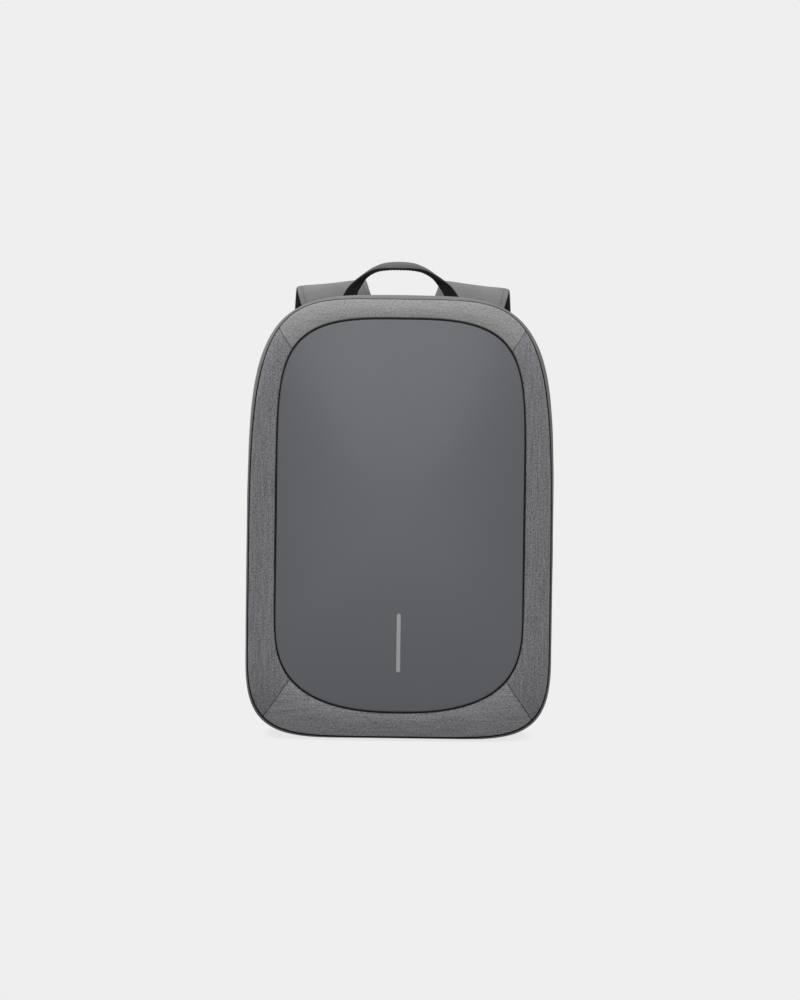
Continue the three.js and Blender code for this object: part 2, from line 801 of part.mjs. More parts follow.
function add(name, geometry, finish) {
  const material = new THREE.MeshStandardMaterial({ ...finishes[finish], metalness: 0 });
  const mesh = new THREE.Mesh(geometry, material);
  mesh.name = name;
  backpack.add(mesh);
}

const framePlaces = steps(place.panel, place.seam, 4);
const gussetPlaces = [
  ...steps(place.seam, place.flank, 2), ...steps(place.flank, place.zipFront, 4).slice(1)];
const zipPlaces = [place.zipFront, place.zipBack];
const hingeDirections = stretches.bottom.slice(1, -1);
const zipDirections = [
  stretches.bottom.at(-2) - 2 * halfTurn * degrees, ...stretches.right.slice(0, -1),
  ...stretches.top.slice(0, -1), ...stretches.left, stretches.bottom[1],
];

add('front_panel', frontPanel(), 'coatedPanel');
add('panel_piping', pipingAt(place.panel), 'piping');
for (const [name, angles] of Object.entries(stretches)) {
  const form = wallOf(framePlaces, angles, frameWall, { front: groove, back: groove });
  add(`frame_${name}`, form, 'wovenFabric');
}
add('frame_piping', pipingAt(place.seam), 'piping');
add('gusset', wallOf(gussetPlaces, allRound, gussetWall, { closed: true, front: groove }),
  'smoothFabric');
add('zip_tape', wallOf(zipPlaces, zipDirections, zipWall), 'zipTape');
add('hinge_strip', wallOf(zipPlaces, hingeDirections, zipWall), 'smoothFabric');
add('zip_pull', zipPull(), 'plastic');
add('back_rim', backRim(), 'smoothFabric');
add('back_panel', backPanel(), 'meshFabric');
add('reflective_strip', reflectiveStrip(), 'reflective');

const strapPieces = {
  strap_outer: [strapLayer(gap / 2, strapOuterThickness), 'smoothFabric'],
  strap_mesh: [strapLayer(-gap / 2, -strapMeshThickness), 'meshFabric'],
  ladder_lock: [ladderLock(), 'plastic'],
  strap_webbing: [strapWebbing(), 'webbing'],
  strap_anchor: [strapAnchor(), 'webbing'],
};
for (const [name, [geometry, finish]] of Object.entries(strapPieces)) {
  add(`${name}_right`, geometry, finish);
  add(`${name}_left`, mirrored(geometry), finish);
}
add('handle_grip', handleLayer(gap / 2, (frame) => frame.grip), 'smoothFabric');
add('handle_webbing', handleLayer(-gap / 2, () => -handleWebbingThickness), 'webbing');

export default backpack;
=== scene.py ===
import math

import bpy
import numpy as np
from mathutils import Matrix, Vector


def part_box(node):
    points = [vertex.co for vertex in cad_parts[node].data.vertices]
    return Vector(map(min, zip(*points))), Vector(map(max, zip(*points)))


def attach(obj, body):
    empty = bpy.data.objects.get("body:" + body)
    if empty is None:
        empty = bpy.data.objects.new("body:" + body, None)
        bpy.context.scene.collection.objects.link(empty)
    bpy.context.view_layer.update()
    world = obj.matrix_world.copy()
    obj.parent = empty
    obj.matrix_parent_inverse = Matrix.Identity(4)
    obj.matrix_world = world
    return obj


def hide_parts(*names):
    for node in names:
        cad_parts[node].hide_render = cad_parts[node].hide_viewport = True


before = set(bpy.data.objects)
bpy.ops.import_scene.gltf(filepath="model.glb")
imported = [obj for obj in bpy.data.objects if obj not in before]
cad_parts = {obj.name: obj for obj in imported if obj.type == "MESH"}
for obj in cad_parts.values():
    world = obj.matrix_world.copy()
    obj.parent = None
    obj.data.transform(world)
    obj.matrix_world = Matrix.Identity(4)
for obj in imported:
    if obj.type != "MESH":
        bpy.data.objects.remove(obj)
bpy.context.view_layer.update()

MM = 0.001

# Driving dimensions of the body
BODY_WIDTH = 305.6
BODY_HEIGHT = 439.2
CENTRE_HEIGHT = 218
BASE_PRESS = 3.2
PANEL_WIDTH = 243.8
PANEL_DROP = 24
PANEL_FOOT = 28.9
PANEL_CROWN = 9
CROWN_POWER = 2.3
SEAM_INSET = 3.6
SEAM_DROP = 4.6
SEAM_FOOT = 2.2
BACK_INSET = 14
PANEL_FORWARD = 66
SEAM_FORWARD = 42
GIRTH_BACK = 10
ZIP_BACK = 38
ZIP_WIDTH = 10
RIM_BACK = 58

# Walls, clearances and the frame's mitred corners in degrees
PANEL_WALL = 3
FRAME_WALL = 3
GUSSET_WALL = 2.5
ZIP_WALL = 1.6
RIM_WALL = 2.5
GAP = 0.3
PIPING_WIDTH = 1.8
STITCH_PITCH = 4.0
GROOVE_HALF = 0.95            # half the gap seen at a piped seam
MITRE_TOP = 57
MITRE_BOTTOM = -56

# Back panel and its raised pads
BACK_THICKNESS = 10
BACK_PROUD = 3
BACK_ROUND = 3
PAD_RISE = 6
PAD_CORNER = 16
PAD_SLOPE = 8
PAD_SUNK = 0.8                # how much lower a pad's edge is, as its dome rises from it
PAD_DOME = 1.4
PAD_DOME_REACH = 14
PAD_SEAM_DEPTH = 0.55
PAD_SEAM_OUT = 1.4
PAD_SEAM_WIDTH = 1.1
PAD_PUCKER = 0.25
PAD_TURN_LENGTH = 60          # millimetres of seam to a radian round a pad's corner
CHANNEL_WIDTH = 36
CROSS_CHANNEL = 12
PAD_SLANT = 14
PAD_REACH = 112
PAD_FOOT = 70
PAD_TOP = 372
PAD_ROWS = 3
BACK_FACE = RIM_BACK + BACK_PROUD

# Shoulder straps, ladder locks, webbing and anchors
STRAP_WIDTH = 71
STRAP_OUTER = 3
STRAP_MESH = 6
STRAP_FIRST_CENTRE = 50
STRAP_LAST_CENTRE = 102
STRAP_STAND_OFF = 60
STRAP_START = BACK_FACE + GAP + STRAP_OUTER
STITCH_INSET = 5
STITCH_SUNK = 0.75            # how far the strap's stitches lie below its crown
UNDER_SHARE = 0.97            # how much of a padded band's width its underside takes
HEM_INSET = 3
HEM_LIFT = 0.85
WEBBING_WIDTH = 25
WEBBING_THICKNESS = 1.6
LOCK_WALL = 3.5
LOCK_BAR = 4
LOCK_SLOT = 6
LOCK_THICKNESS = 3
LOCK_OUT = (STRAP_OUTER - STRAP_MESH) / 2
WEBBING_TAIL = 62
ANCHOR_INSET = 49
ANCHOR_HEIGHT = 34
ANCHOR_LENGTH = 30
ANCHOR_THICKNESS = 2.4
ANCHOR_SPREAD = 6
ANCHOR_BACK = BACK_FACE + GAP + ANCHOR_THICKNESS
ANCHOR_SPOT = np.array([BODY_WIDTH / 2 - ANCHOR_INSET, ANCHOR_BACK, ANCHOR_HEIGHT])

# Carrying handle
HANDLE_TOP = 474.3
HANDLE_FOOT_CENTRE = 53.2
HANDLE_BACK = 50.8
HANDLE_WIDTH = 22
HANDLE_WEBBING = 2
HANDLE_GRIP = 6
HANDLE_GRIP_LEG = 1.4
HANDLE_LEG_SHARE = 0.7
HANDLE_STITCH_INSET = 2.4
HANDLE_FOOT = BODY_HEIGHT - BACK_INSET / 2
HANDLE_LEAN = (1.8, 4.0)      # how far its feet and its top lie to the left, as in the photo
HANDLE_WRAP = 1.0             # how far the cover wraps down over the webbing's edges

# Bar on the front panel
STRIP_WIDTH = 4
STRIP_THICKNESS = 0.6
STRIP_FOOT = 69
STRIP_LENGTH = 58

ROUND_BODY = {"above": (3.82, 6.41), "below": (5.34, 3.77)}
WAIST = 0.218 * BODY_HEIGHT

# Rounded outlines, widest at the waist. The powers set how square the corners are, across and
# along, above the waist and below it.
OUTLINES = {
    "panel": {
        "half": PANEL_WIDTH / 2, "waist": 0.305 * BODY_HEIGHT,
        "top": BODY_HEIGHT - PANEL_DROP, "bottom": PANEL_FOOT,
        "above": (3.21, 9.05), "below": (2.42, 3.38),
    },
    "seam": {
        "half": BODY_WIDTH / 2 - SEAM_INSET, "waist": WAIST,
        "top": BODY_HEIGHT - SEAM_DROP, "bottom": SEAM_FOOT,
        "above": (4.78, 5.12), "below": (5.65, 3.43),
    },
    "girth": {
        "half": BODY_WIDTH / 2, "waist": WAIST, "top": BODY_HEIGHT, "bottom": -BASE_PRESS,
        **ROUND_BODY,
    },
    "back": {
        "half": BODY_WIDTH / 2 - BACK_INSET, "waist": WAIST,
        "top": BODY_HEIGHT - BACK_INSET, "bottom": -BASE_PRESS + BACK_INSET,
        **ROUND_BODY,
    },
}


def mix(low, high, share):
    return low + (high - low) * share


def unit(vectors):
    return vectors / np.linalg.norm(vectors, axis=-1, keepdims=True)


def lengths_along(points):
    steps = np.linalg.norm(np.diff(points, axis=0), axis=-1)
    return np.concatenate([[0], np.cumsum(steps)])


# The body's section: depth, the two outlines it lies between, and the share of the way
SECTION = [
    ("panel", -PANEL_FORWARD, "panel", "panel", 0),
    ("brow", mix(-PANEL_FORWARD, -SEAM_FORWARD, 0.23), "panel", "seam", 0.5),
    ("seam", -SEAM_FORWARD, "seam", "seam", 0),
    ("flank", mix(-SEAM_FORWARD, GIRTH_BACK, 0.38), "seam", "girth", 0.72),
    ("girth", GIRTH_BACK, "girth", "girth", 0),
    ("zip_front", ZIP_BACK, "girth", "back", 0.17),
    ("zip_back", ZIP_BACK + ZIP_WIDTH, "girth", "back", 0.45),
    ("rim", RIM_BACK, "back", "back", 0),
]
PLACE = {row[0]: index for index, row in enumerate(SECTION)}
ZIP_MIDDLE = (PLACE["zip_front"] + PLACE["zip_back"]) / 2
HALVINGS = 36
NUDGE = 0.002


def reach(name, angle):
    """How far an outline lies from the centre, in each direction"""
    outline = OUTLINES[name]
    near = np.zeros_like(angle)
    far = np.full_like(angle, BODY_HEIGHT)
    for _ in range(HALVINGS):
        middle = (near + far) / 2
        z = CENTRE_HEIGHT + middle * np.sin(angle) - outline["waist"]
        above = z > 0
        across = np.where(above, outline["above"][0], outline["below"][0])
        along = np.where(above, outline["above"][1], outline["below"][1])
        rise = np.where(
            above, outline["top"] - outline["waist"], outline["waist"] - outline["bottom"])
        side = np.abs(middle * np.cos(angle) / outline["half"]) ** across
        inside = side + np.abs(z / rise) ** along < 1
        near = np.where(inside, middle, near)
        far = np.where(inside, far, middle)
    return near


def cubic_between(start, end, leave, arrive, share):
    """A cubic between two rows, by its slopes where it leaves and arrives"""
    cubed = (2 * start - 2 * end + leave + arrive) * share ** 3
    squared = (-3 * start + 3 * end - 2 * leave - arrive) * share ** 2
    return cubed + squared + leave * share + start


def spline_through(rows, spot):
    """An even Catmull-Rom curve through rows, at a spot counted in rows"""
    rows = np.asarray(rows, float)
    last = len(rows) - 1
    low = np.clip(np.floor(spot).astype(int), 0, last - 1)

    def take(index):
        index = np.clip(index, 0, last)
        if rows.ndim == 1:
            return rows[index]
        return np.take_along_axis(rows, index[None], 0)[0]

    before, start, end, after = take(low - 1), take(low), take(low + 1), take(low + 2)
    return cubic_between(start, end, (end - before) / 2, (after - start) / 2, spot - low)


def skin(at, angle):
    """Points of the body's skin, by their place in the section and their direction"""
    shape = np.broadcast(at, angle).shape
    distances = {
        name: np.broadcast_to(reach(name, np.asarray(angle, float)), shape)
        for name in OUTLINES}
    at, angle = np.broadcast_arrays(np.asarray(at, float), angle)
    rows = np.stack([
        mix(distances[start], distances[end], turned) for _, _, start, end, turned in SECTION])
    depth = spline_through([row[1] for row in SECTION], at)
    down = np.maximum(-np.sin(angle), 1e-6)
    distance = np.minimum(spline_through(rows, at), CENTRE_HEIGHT / down)
    return np.stack(
        [distance * np.cos(angle), depth, CENTRE_HEIGHT + distance * np.sin(angle)], -1)


def along_section(at, angle):
    low = np.maximum(at - NUDGE, 0)
    high = np.minimum(at + NUDGE, len(SECTION) - 1)
    return (skin(high, angle) - skin(low, angle)) / (high - low)[..., None]


def skin_normal(at, angle):
    around = skin(at, angle + NUDGE) - skin(at, angle - NUDGE)
    return unit(np.cross(along_section(at, angle), around))


def skin_frames(at, angle):
    """Points of the skin, with the directions out of it and along the section"""
    at = np.full_like(angle, at)
    return skin(at, angle), skin_normal(at, angle), unit(along_section(at, angle))


def moved(at, angle, distance):
    """Moves a place in the section by a real distance along the skin"""
    return at + distance / np.linalg.norm(along_section(at, angle), axis=-1)


def even_directions(start, end, spacing, at=PLACE["seam"], closer_ends=()):
    """Directions from start to end, in degrees, an even distance apart along the skin, and the
    lengths at which they lie"""
    dense = np.radians(np.linspace(start, end, 3000))
    lengths = lengths_along(skin(at, dense))
    whole = lengths[-1]
    wanted = np.linspace(0, whole, max(2, round(whole / spacing)) + 1)
    if closer_ends:
        ends = np.array(closer_ends)
        clear = ends[-1] + spacing / 2
        inner = wanted[(wanted > clear) & (wanted < whole - clear)]
        wanted = np.concatenate([[0], ends, inner, whole - ends[::-1], [whole]])
    return np.interp(wanted, lengths, dense), wanted


def all_round(spacing, at=PLACE["seam"]):
    return even_directions(-90, 270, spacing, at)


# Mesh making
CLOTH_MAP = "cloth"


def new_piece(name, points, faces, look, nodes=(), cloth=None, sharp=None):
    """Makes a piece from points in millimetres. cloth holds a place in the cloth, in
    millimetres, for each corner of each face."""
    mesh = bpy.data.meshes.new(name)
    mesh.from_pydata((np.asarray(points).reshape(-1, 3) * MM).tolist(), [], faces)
    if cloth is not None:
        layer = mesh.uv_layers.new(name=CLOTH_MAP)
        layer.uv.foreach_set("vector", np.asarray(cloth, np.float32).ravel())
    mesh.validate()
    mesh.shade_smooth()
    if sharp is not None:
        mesh.set_sharp_from_angle(angle=math.radians(sharp))
    mesh.materials.append(LOOKS[look])
    piece = in_scene(name, mesh)
    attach(piece, "root")
    if nodes:
        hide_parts(*nodes)
    return piece


def in_scene(name, data):
    piece = bpy.data.objects.new(name, data)
    bpy.context.scene.collection.objects.link(piece)
    return piece


def outward(points, faces):
    """True if the faces of a closed form point out"""
    points = np.asarray(points, float).reshape(-1, 3)
    points = points - points.mean(0)
    volume = 0
    for size in {len(face) for face in faces}:
        group = points[np.array([face for face in faces if len(face) == size])]
        for corner in range(1, size - 1):
            volume += np.sum(group[:, 0] * np.cross(group[:, corner], group[:, corner + 1]))
    return volume > 0


def turned_out(points, faces):
    """The faces of a closed form, reversed if they point in"""
    return faces if outward(points, faces) else [face[::-1] for face in faces]


def grid_corners(rows, columns, wrap_rows, wrap_columns):
    """Quads of a grid, as places in the grid of points and in the unwrapped grid of cloth"""
    row, column = np.meshgrid(
        np.arange(rows - 1 + wrap_rows), np.arange(columns - 1 + wrap_columns), indexing="ij")
    quads = [(row, column), (row + 1, column), (row + 1, column + 1), (row, column + 1)]
    points = [(r % rows) * columns + c % columns for r, c in quads]
    cloth = [r * (columns + wrap_columns) + c for r, c in quads]
    return np.stack(points, -1).reshape(-1, 4), np.stack(cloth, -1).reshape(-1, 4)


def sweep(name, loops, cloth, look, nodes, closed=False, sharp=None):
    """A closed form through loops of points, with a cap of strips on each end unless closed.
    cloth has one more column than the loops, and one more row if the form is closed."""
    rows, columns = loops.shape[:2]
    corners, places = grid_corners(rows, columns, int(closed), 1)
    faces = corners.tolist()
    flat = cloth.reshape(-1, 2)
    corner_cloth = [flat[places].reshape(-1, 2)]
    if not closed:
        near = np.arange(columns // 2 - 1)
        far = columns - 1 - near
        low = np.stack([near, near + 1, far - 1, far], -1)
        high = (low + (rows - 1) * columns)[:, ::-1]
        for cap in (low, high):
            faces += cap.tolist()
            corner_cloth.append(flat[cap + cap // columns].reshape(-1, 2))
    corner_cloth = np.concatenate(corner_cloth)
    if not outward(loops, faces):
        faces = [quad[::-1] for quad in faces]
        corner_cloth = corner_cloth.reshape(-1, 4, 2)[:, ::-1]
    return new_piece(name, loops, faces, look, nodes, corner_cloth.reshape(-1, 2), sharp)


def circle(sides):
    """The sides' directions round a circle, as cosines and sines"""
    turns = np.arange(sides) * 2 * np.pi / sides
    return np.cos(turns), np.sin(turns)


def bars(name, rings, look):
    """Many small closed bars: points by bar, by ring and by place round the ring"""
    count, length, sides, _ = rings.shape
    size = length * sides
    corners, _ = grid_corners(length, sides, 0, 1)
    caps = [list(range(sides)), list(range(size - sides, size))[::-1]]
    points = rings.reshape(-1, 3)
    pattern = turned_out(points[:size], corners.tolist() + caps)
    faces = [[corner + start for corner in face]
             for start in range(0, count * size, size) for face in pattern]
    return new_piece(name, points, faces, look)


def both_sides(profile):
    """A section from one edge of a flat piece to the other: the side, and the profile's row"""
    return [(-1, *row) for row in profile] + [(1, *row) for row in profile[::-1]]


def rounded(distance, radius):
    """How deep a rounded edge lies, by the distance from it"""
    short = np.clip(radius - distance, 0, radius)
    return radius - np.sqrt(radius ** 2 - short ** 2)


def wander(length, pitch, seed):
    """A smooth uneven wave between -1 and 1"""
    waves = ((1, 1, 1), (0.7, 0.618, 2.1), (0.5, 1.731, 3.3))
    return sum(
        size * np.sin(2 * np.pi * length / (pitch * stretch) + phase * seed * 1.7)
        for size, stretch, phase in waves) / 2.2


def puckers(length, from_seam, depth, pitch=STITCH_PITCH, fade=2.4, seed=1):
    """The small dimples that stitches pull into cloth beside a seam"""
    stitch = (0.5 + 0.5 * np.cos(2 * np.pi * length / pitch)) ** 2
    uneven = 1 + 0.45 * wander(length, 31, seed)
    return depth * stitch * uneven * np.exp(-from_seam / fade)


# Finishes
class Nodes:
    """A tree of nodes, with methods that add nodes and give back their sockets"""

    def __init__(self, tree):
        self.tree = tree

    def put(self, socket, value):
        if isinstance(value, bpy.types.NodeSocket):
            self.tree.links.new(value, socket)
        elif isinstance(value, tuple) and len(value) == 3 and len(socket.default_value) == 4:
            socket.default_value = (*value, 1)
        else:
            socket.default_value = value

    def node(self, kind, inputs, **settings):
        node = self.tree.nodes.new(kind)
        for key, value in settings.items():
            setattr(node, key, value)
        for key, value in inputs.items():
            self.put(node.inputs[key], value)
        return node

    def math(self, operation, first, second=0.0):
        return self.node("ShaderNodeMath", {0: first, 1: second}, operation=operation).outputs[0]

    def ranged(self, value, low, high, new_low=0.0, new_high=1.0, kind="SMOOTHSTEP"):
        return self.node("ShaderNodeMapRange", {
            "Value": value, "From Min": low, "From Max": high,
            "To Min": new_low, "To Max": new_high,
        }, interpolation_type=kind).outputs["Result"]

    def mixed(self, factor, first, second):
        return self.node(
            "ShaderNodeMix", {0: factor, 2: first, 3: second}, data_type="FLOAT").outputs[0]

    def scaled(self, vector, scales):
        return self.node(
            "ShaderNodeVectorMath", {0: vector, 1: scales}, operation="MULTIPLY").outputs[0]

    def axis(self, vector, name):
        return self.node("ShaderNodeSeparateXYZ", {0: vector}).outputs[name]

    def seen(self):
        return self.node("ShaderNodeLightPath", {}).outputs["Is Camera Ray"]


class Finish(Nodes):
    """A material of cloth, thread, film or plastic"""

    def __init__(self, name, roughness, specular=0.5, sheen=0.0, sheen_roughness=0.5):
        self.material = bpy.data.materials.new(name)
        self.material.use_nodes = True
        super().__init__(self.material.node_tree)
        self.shader = self.tree.nodes["Principled BSDF"]
        self.shader.inputs["Roughness"].default_value = roughness
        self.shader.inputs["Specular IOR Level"].default_value = specular
        self.shader.inputs["Sheen Weight"].default_value = sheen
        self.shader.inputs["Sheen Roughness"].default_value = sheen_roughness

    def cloth(self, along=1.0, across=1.0):
        """Places in the cloth, in millimetres times the scales"""
        uv = self.node("ShaderNodeUVMap", {}, uv_map=CLOTH_MAP).outputs[0]
        return self.scaled(uv, (along, across, 1.0))

    def spot(self):
        """Places in the piece, in millimetres"""
        place = self.node("ShaderNodeTexCoord", {}).outputs["Object"]
        return self.scaled(place, (1 / MM, 1 / MM, 1 / MM))

    def noise(self, vector, scale, detail=2.0, roughness=0.5):
        return self.node("ShaderNodeTexNoise", {
            "Vector": vector, "Scale": scale, "Detail": detail, "Roughness": roughness,
        }).outputs["Fac"]

    def yarn(self, along, across, detail=2.0, roughness=0.5):
        """Noise stretched along or across the cloth"""
        return self.noise(self.cloth(along, across), 1.0, detail, roughness)

    def cells(self, vector, scale):
        return self.node(
            "ShaderNodeTexVoronoi", {"Vector": vector, "Scale": scale}).outputs["Distance"]

    def blended(self, factor, first, second):
        return self.node(
            "ShaderNodeMix", {0: factor, 6: first, 7: second}, data_type="RGBA").outputs[2]

    def total(self, *parts):
        """The sum of values, each with its weight"""
        whole = 0.0
        for value, weight in parts:
            whole = self.math("ADD", whole, self.math("MULTIPLY", value, weight))
        return whole

    def tones(self, factor, first, second):
        self.put(self.shader.inputs["Base Color"], self.blended(factor, first, second))

    def roughness(self, value):
        self.put(self.shader.inputs["Roughness"], value)

    def relief(self, *layers):
        """Ends the material with its bumps, each a height and how deep it is in millimetres"""
        below = {}
        for height, depth in layers:
            inputs = {"Height": height, "Distance": depth * MM, "Strength": 1.0, **below}
            below["Normal"] = self.node("ShaderNodeBump", inputs).outputs[0]
        self.put(self.shader.inputs["Normal"], below["Normal"])
        return self.material

    def weave(self, pitch):
        """A plain weave's height from 0 to 1, and the sign that says which yarn is on top"""
        cloth = self.cloth(math.pi / pitch, math.pi / pitch)
        warp = self.math("SINE", self.axis(cloth, "X"))
        weft = self.math("SINE", self.axis(cloth, "Y"))
        product = self.math("MULTIPLY", warp, weft)
        return self.math("ABSOLUTE", product), self.ranged(product, -0.15, 0.15)


def shade(colour, factor):
    return tuple(channel * factor for channel in colour)


def coated_panel():
    finish = Finish("coated_panel", 0.4, specular=0.85)
    base = (0.1135, 0.119, 0.135)
    spot = finish.spot()
    clouds = finish.noise(spot, 0.018, detail=3.0)
    fine = finish.noise(spot, 4.5, detail=3.0)
    finish.tones(clouds, shade(base, 0.965), shade(base, 1.035))
    finish.roughness(finish.ranged(fine, 0.2, 0.8, 0.36, 0.42))
    return finish.relief((finish.cells(spot, 1.9), 0.035), (fine, 0.02))


def woven_fabric(name, dark, light):
    """Two-tone cloth. The cloth of the sides is turned upright. The sides' copy is darker, painted
    shade, and the bottom piece's copy lighter, painted light from below."""
    finish = Finish(name, 0.92, specular=0.2, sheen=0.08, sheen_roughness=0.4)
    height, top = finish.weave(0.46)
    warp = finish.yarn(0.16, 2.1, roughness=0.6)
    weft = finish.yarn(2.1, 0.2, roughness=0.6)
    blotch = finish.yarn(0.55, 0.8, detail=3.0, roughness=0.7)
    slub = finish.yarn(0.03, 0.42)
    fibre = finish.noise(finish.cloth(), 7.0)
    total = finish.total(
        (finish.mixed(top, warp, weft), 0.42), (blotch, 0.42), (slub, 0.12), (fibre, 0.08))
    finish.tones(finish.ranged(total, 0.38, 0.66), dark, light)
    return finish.relief((height, 0.16), (fibre, 0.06))


def smooth_fabric(name, base):
    finish = Finish(name, 0.85, specular=0.1, sheen=0.03, sheen_roughness=0.45)
    height, _ = finish.weave(0.3)
    clouds = finish.noise(finish.cloth(), 0.05, detail=3.0)
    factor = finish.mixed(0.5, clouds, finish.yarn(0.35, 3.2))
    finish.tones(finish.ranged(factor, 0.3, 0.7), shade(base, 0.93), shade(base, 1.07))
    return finish.relief((height, 0.05))


def piping():
    finish = Finish("piping", 0.75, specular=0.25)
    twist = finish.yarn(1.6, 0.5)
    finish.tones(finish.ranged(twist, 0.35, 0.65), (0.005, 0.005, 0.006), (0.012, 0.012, 0.015))
    return finish.relief((twist, 0.1))


def zip_tape():
    finish = Finish("zip_tape", 0.85, specular=0.25, sheen=0.1)
    height, _ = finish.weave(0.5)
    yarn = finish.yarn(2.4, 0.3)
    finish.tones(finish.ranged(yarn, 0.3, 0.7), (0.010, 0.010, 0.011), (0.022, 0.022, 0.023))
    return finish.relief((height, 0.12))


def mesh_fabric():
    """Black air mesh: a grid of small round holes, staggered, with a knitted look between"""
    finish = Finish("mesh_fabric", 0.9, specular=0.2, sheen=0.15, sheen_roughness=0.5)
    pitch = 3.0
    cloth = finish.cloth(math.pi / pitch, math.pi / (pitch * 0.87))
    along = finish.axis(cloth, "X")
    across = finish.math("COSINE", finish.axis(cloth, "Y"))
    rows = finish.math("MULTIPLY", finish.math("COSINE", along), across)
    hole = finish.ranged(finish.math("ABSOLUTE", rows), 0.5, 0.8)
    knit = finish.yarn(2.2, 2.2)
    ribs = finish.math("COSINE", finish.math("MULTIPLY", along, 2.0))
    knots = finish.math("MULTIPLY", finish.math("ADD", ribs, across), 0.08)
    ground = finish.blended(
        finish.ranged(knit, 0.3, 0.7), (0.020, 0.0205, 0.0215), (0.046, 0.047, 0.049))
    finish.tones(hole, ground, (0.0025, 0.0025, 0.0027))
    height = finish.math("ADD", finish.math("SUBTRACT", 1.0, hole), knots)
    return finish.relief((height, 0.7), (knit, 0.12))


def webbing():
    """Black webbing with a herringbone of fine ribs"""
    finish = Finish("webbing", 0.75, specular=0.2, sheen=0.03)
    rib = 1.15
    cloth = finish.cloth()
    zigzag = finish.math("PINGPONG", finish.axis(cloth, "Y"), 2.6)
    slant = finish.math("ADD", finish.axis(cloth, "X"), zigzag)
    ribs = finish.math(
        "ABSOLUTE", finish.math("SINE", finish.math("MULTIPLY", slant, math.pi / rib)))
    yarn = finish.yarn(2.6, 2.6)
    factor = finish.ranged(finish.mixed(0.35, ribs, yarn), 0.1, 0.9)
    finish.tones(factor, (0.005, 0.005, 0.0048), (0.017, 0.017, 0.0162))
    return finish.relief((ribs, 0.22), (yarn, 0.05))


def plastic():
    finish = Finish("plastic", 0.42)
    grain = finish.noise(finish.spot(), 3.4)
    finish.tones(grain, (0.012, 0.012, 0.013), (0.021, 0.021, 0.022))
    finish.roughness(finish.ranged(grain, 0.25, 0.75, 0.34, 0.5))
    return finish.relief((grain, 0.035))


def reflective():
    finish = Finish("reflective", 0.34, specular=0.55)
    spot = finish.spot()
    beads = finish.cells(spot, 3.0)
    finish.tones(finish.noise(spot, 0.25), (0.396, 0.407, 0.420), (0.446, 0.458, 0.472))
    finish.roughness(finish.ranged(beads, 0.0, 0.6, 0.28, 0.44))
    return finish.relief((beads, 0.03))


def thread(name, low, high):
    finish = Finish(name, 0.7, specular=0.3, sheen=0.1)
    twist = finish.noise(finish.spot(), 3.0)
    finish.tones(twist, low, high)
    return finish.relief((twist, 0.06))


LOOKS = {
    "coated_panel": coated_panel(),
    "woven_top": woven_fabric("woven_top", (0.178, 0.179, 0.178), (0.520, 0.523, 0.519)),
    # A darker copy of the woven cloth: painted shade on the frame's side pieces
    "woven_side_painted_shade": woven_fabric("woven_side_painted_shade", (0.058, 0.057, 0.064), (0.490, 0.482, 0.515)),
    # A lighter copy of the woven cloth: painted light from below on the frame's bottom piece
    "woven_low_painted_light": woven_fabric("woven_low_painted_light", (0.080, 0.079, 0.086), (0.620, 0.615, 0.655)),
    "smooth_fabric": smooth_fabric("smooth_fabric", (0.262, 0.263, 0.260)),
    # A darker copy of the smooth fabric for the gusset, painted shade for its sides; the straps
    # keep the lighter copy
    "wall_fabric_painted_shade": smooth_fabric("wall_fabric_painted_shade", (0.219, 0.220, 0.219)),
    "grip_fabric": smooth_fabric("grip_fabric", (0.203, 0.203, 0.196)),
    "piping": piping(),
    "zip_tape": zip_tape(),
    "mesh_fabric": mesh_fabric(),
    "webbing": webbing(),
    "plastic": plastic(),
    "reflective": reflective(),
    "grey_thread": thread("grey_thread", (0.115, 0.115, 0.116), (0.16, 0.16, 0.161)),
    "black_thread": thread("black_thread", (0.008, 0.008, 0.008), (0.02, 0.02, 0.02)),
}

# The body's walls
ACROSS, UP = 0, 2
EDGE_ROWS = 5
LINING_ROWS = 7
DRIFT_REACH = 6               # how far from a seam the cloth starts to lie unevenly
MITRE_RADIUS = 0.7
MITRE_STEPS = (0.08, 0.22, 0.45, 0.75, 1.2)
SLANT_STRETCH = 1.5
# The side pieces take a darker copy of the woven cloth, painted shade, and the bottom piece a
# lighter one, painted light
FRAME_STRETCHES = {
    "right": (MITRE_BOTTOM, MITRE_TOP, UP, "woven_side_painted_shade"),
    "top": (MITRE_TOP, 180 - MITRE_TOP, ACROSS, "woven_top"),
    "left": (180 - MITRE_TOP, 180 - MITRE_BOTTOM, UP, "woven_side_painted_shade"),
    "bottom": (180 - MITRE_BOTTOM, 360 + MITRE_BOTTOM, ACROSS, "woven_low_painted_light"),
}


def eased(count, power=1.6):
    """Shares from 0 to 1, closer together at both ends"""
    even = np.linspace(-1, 1, count + 2)[1:-1]
    return 0.5 + 0.5 * np.sign(even) * (1 - (1 - np.abs(even)) ** power)


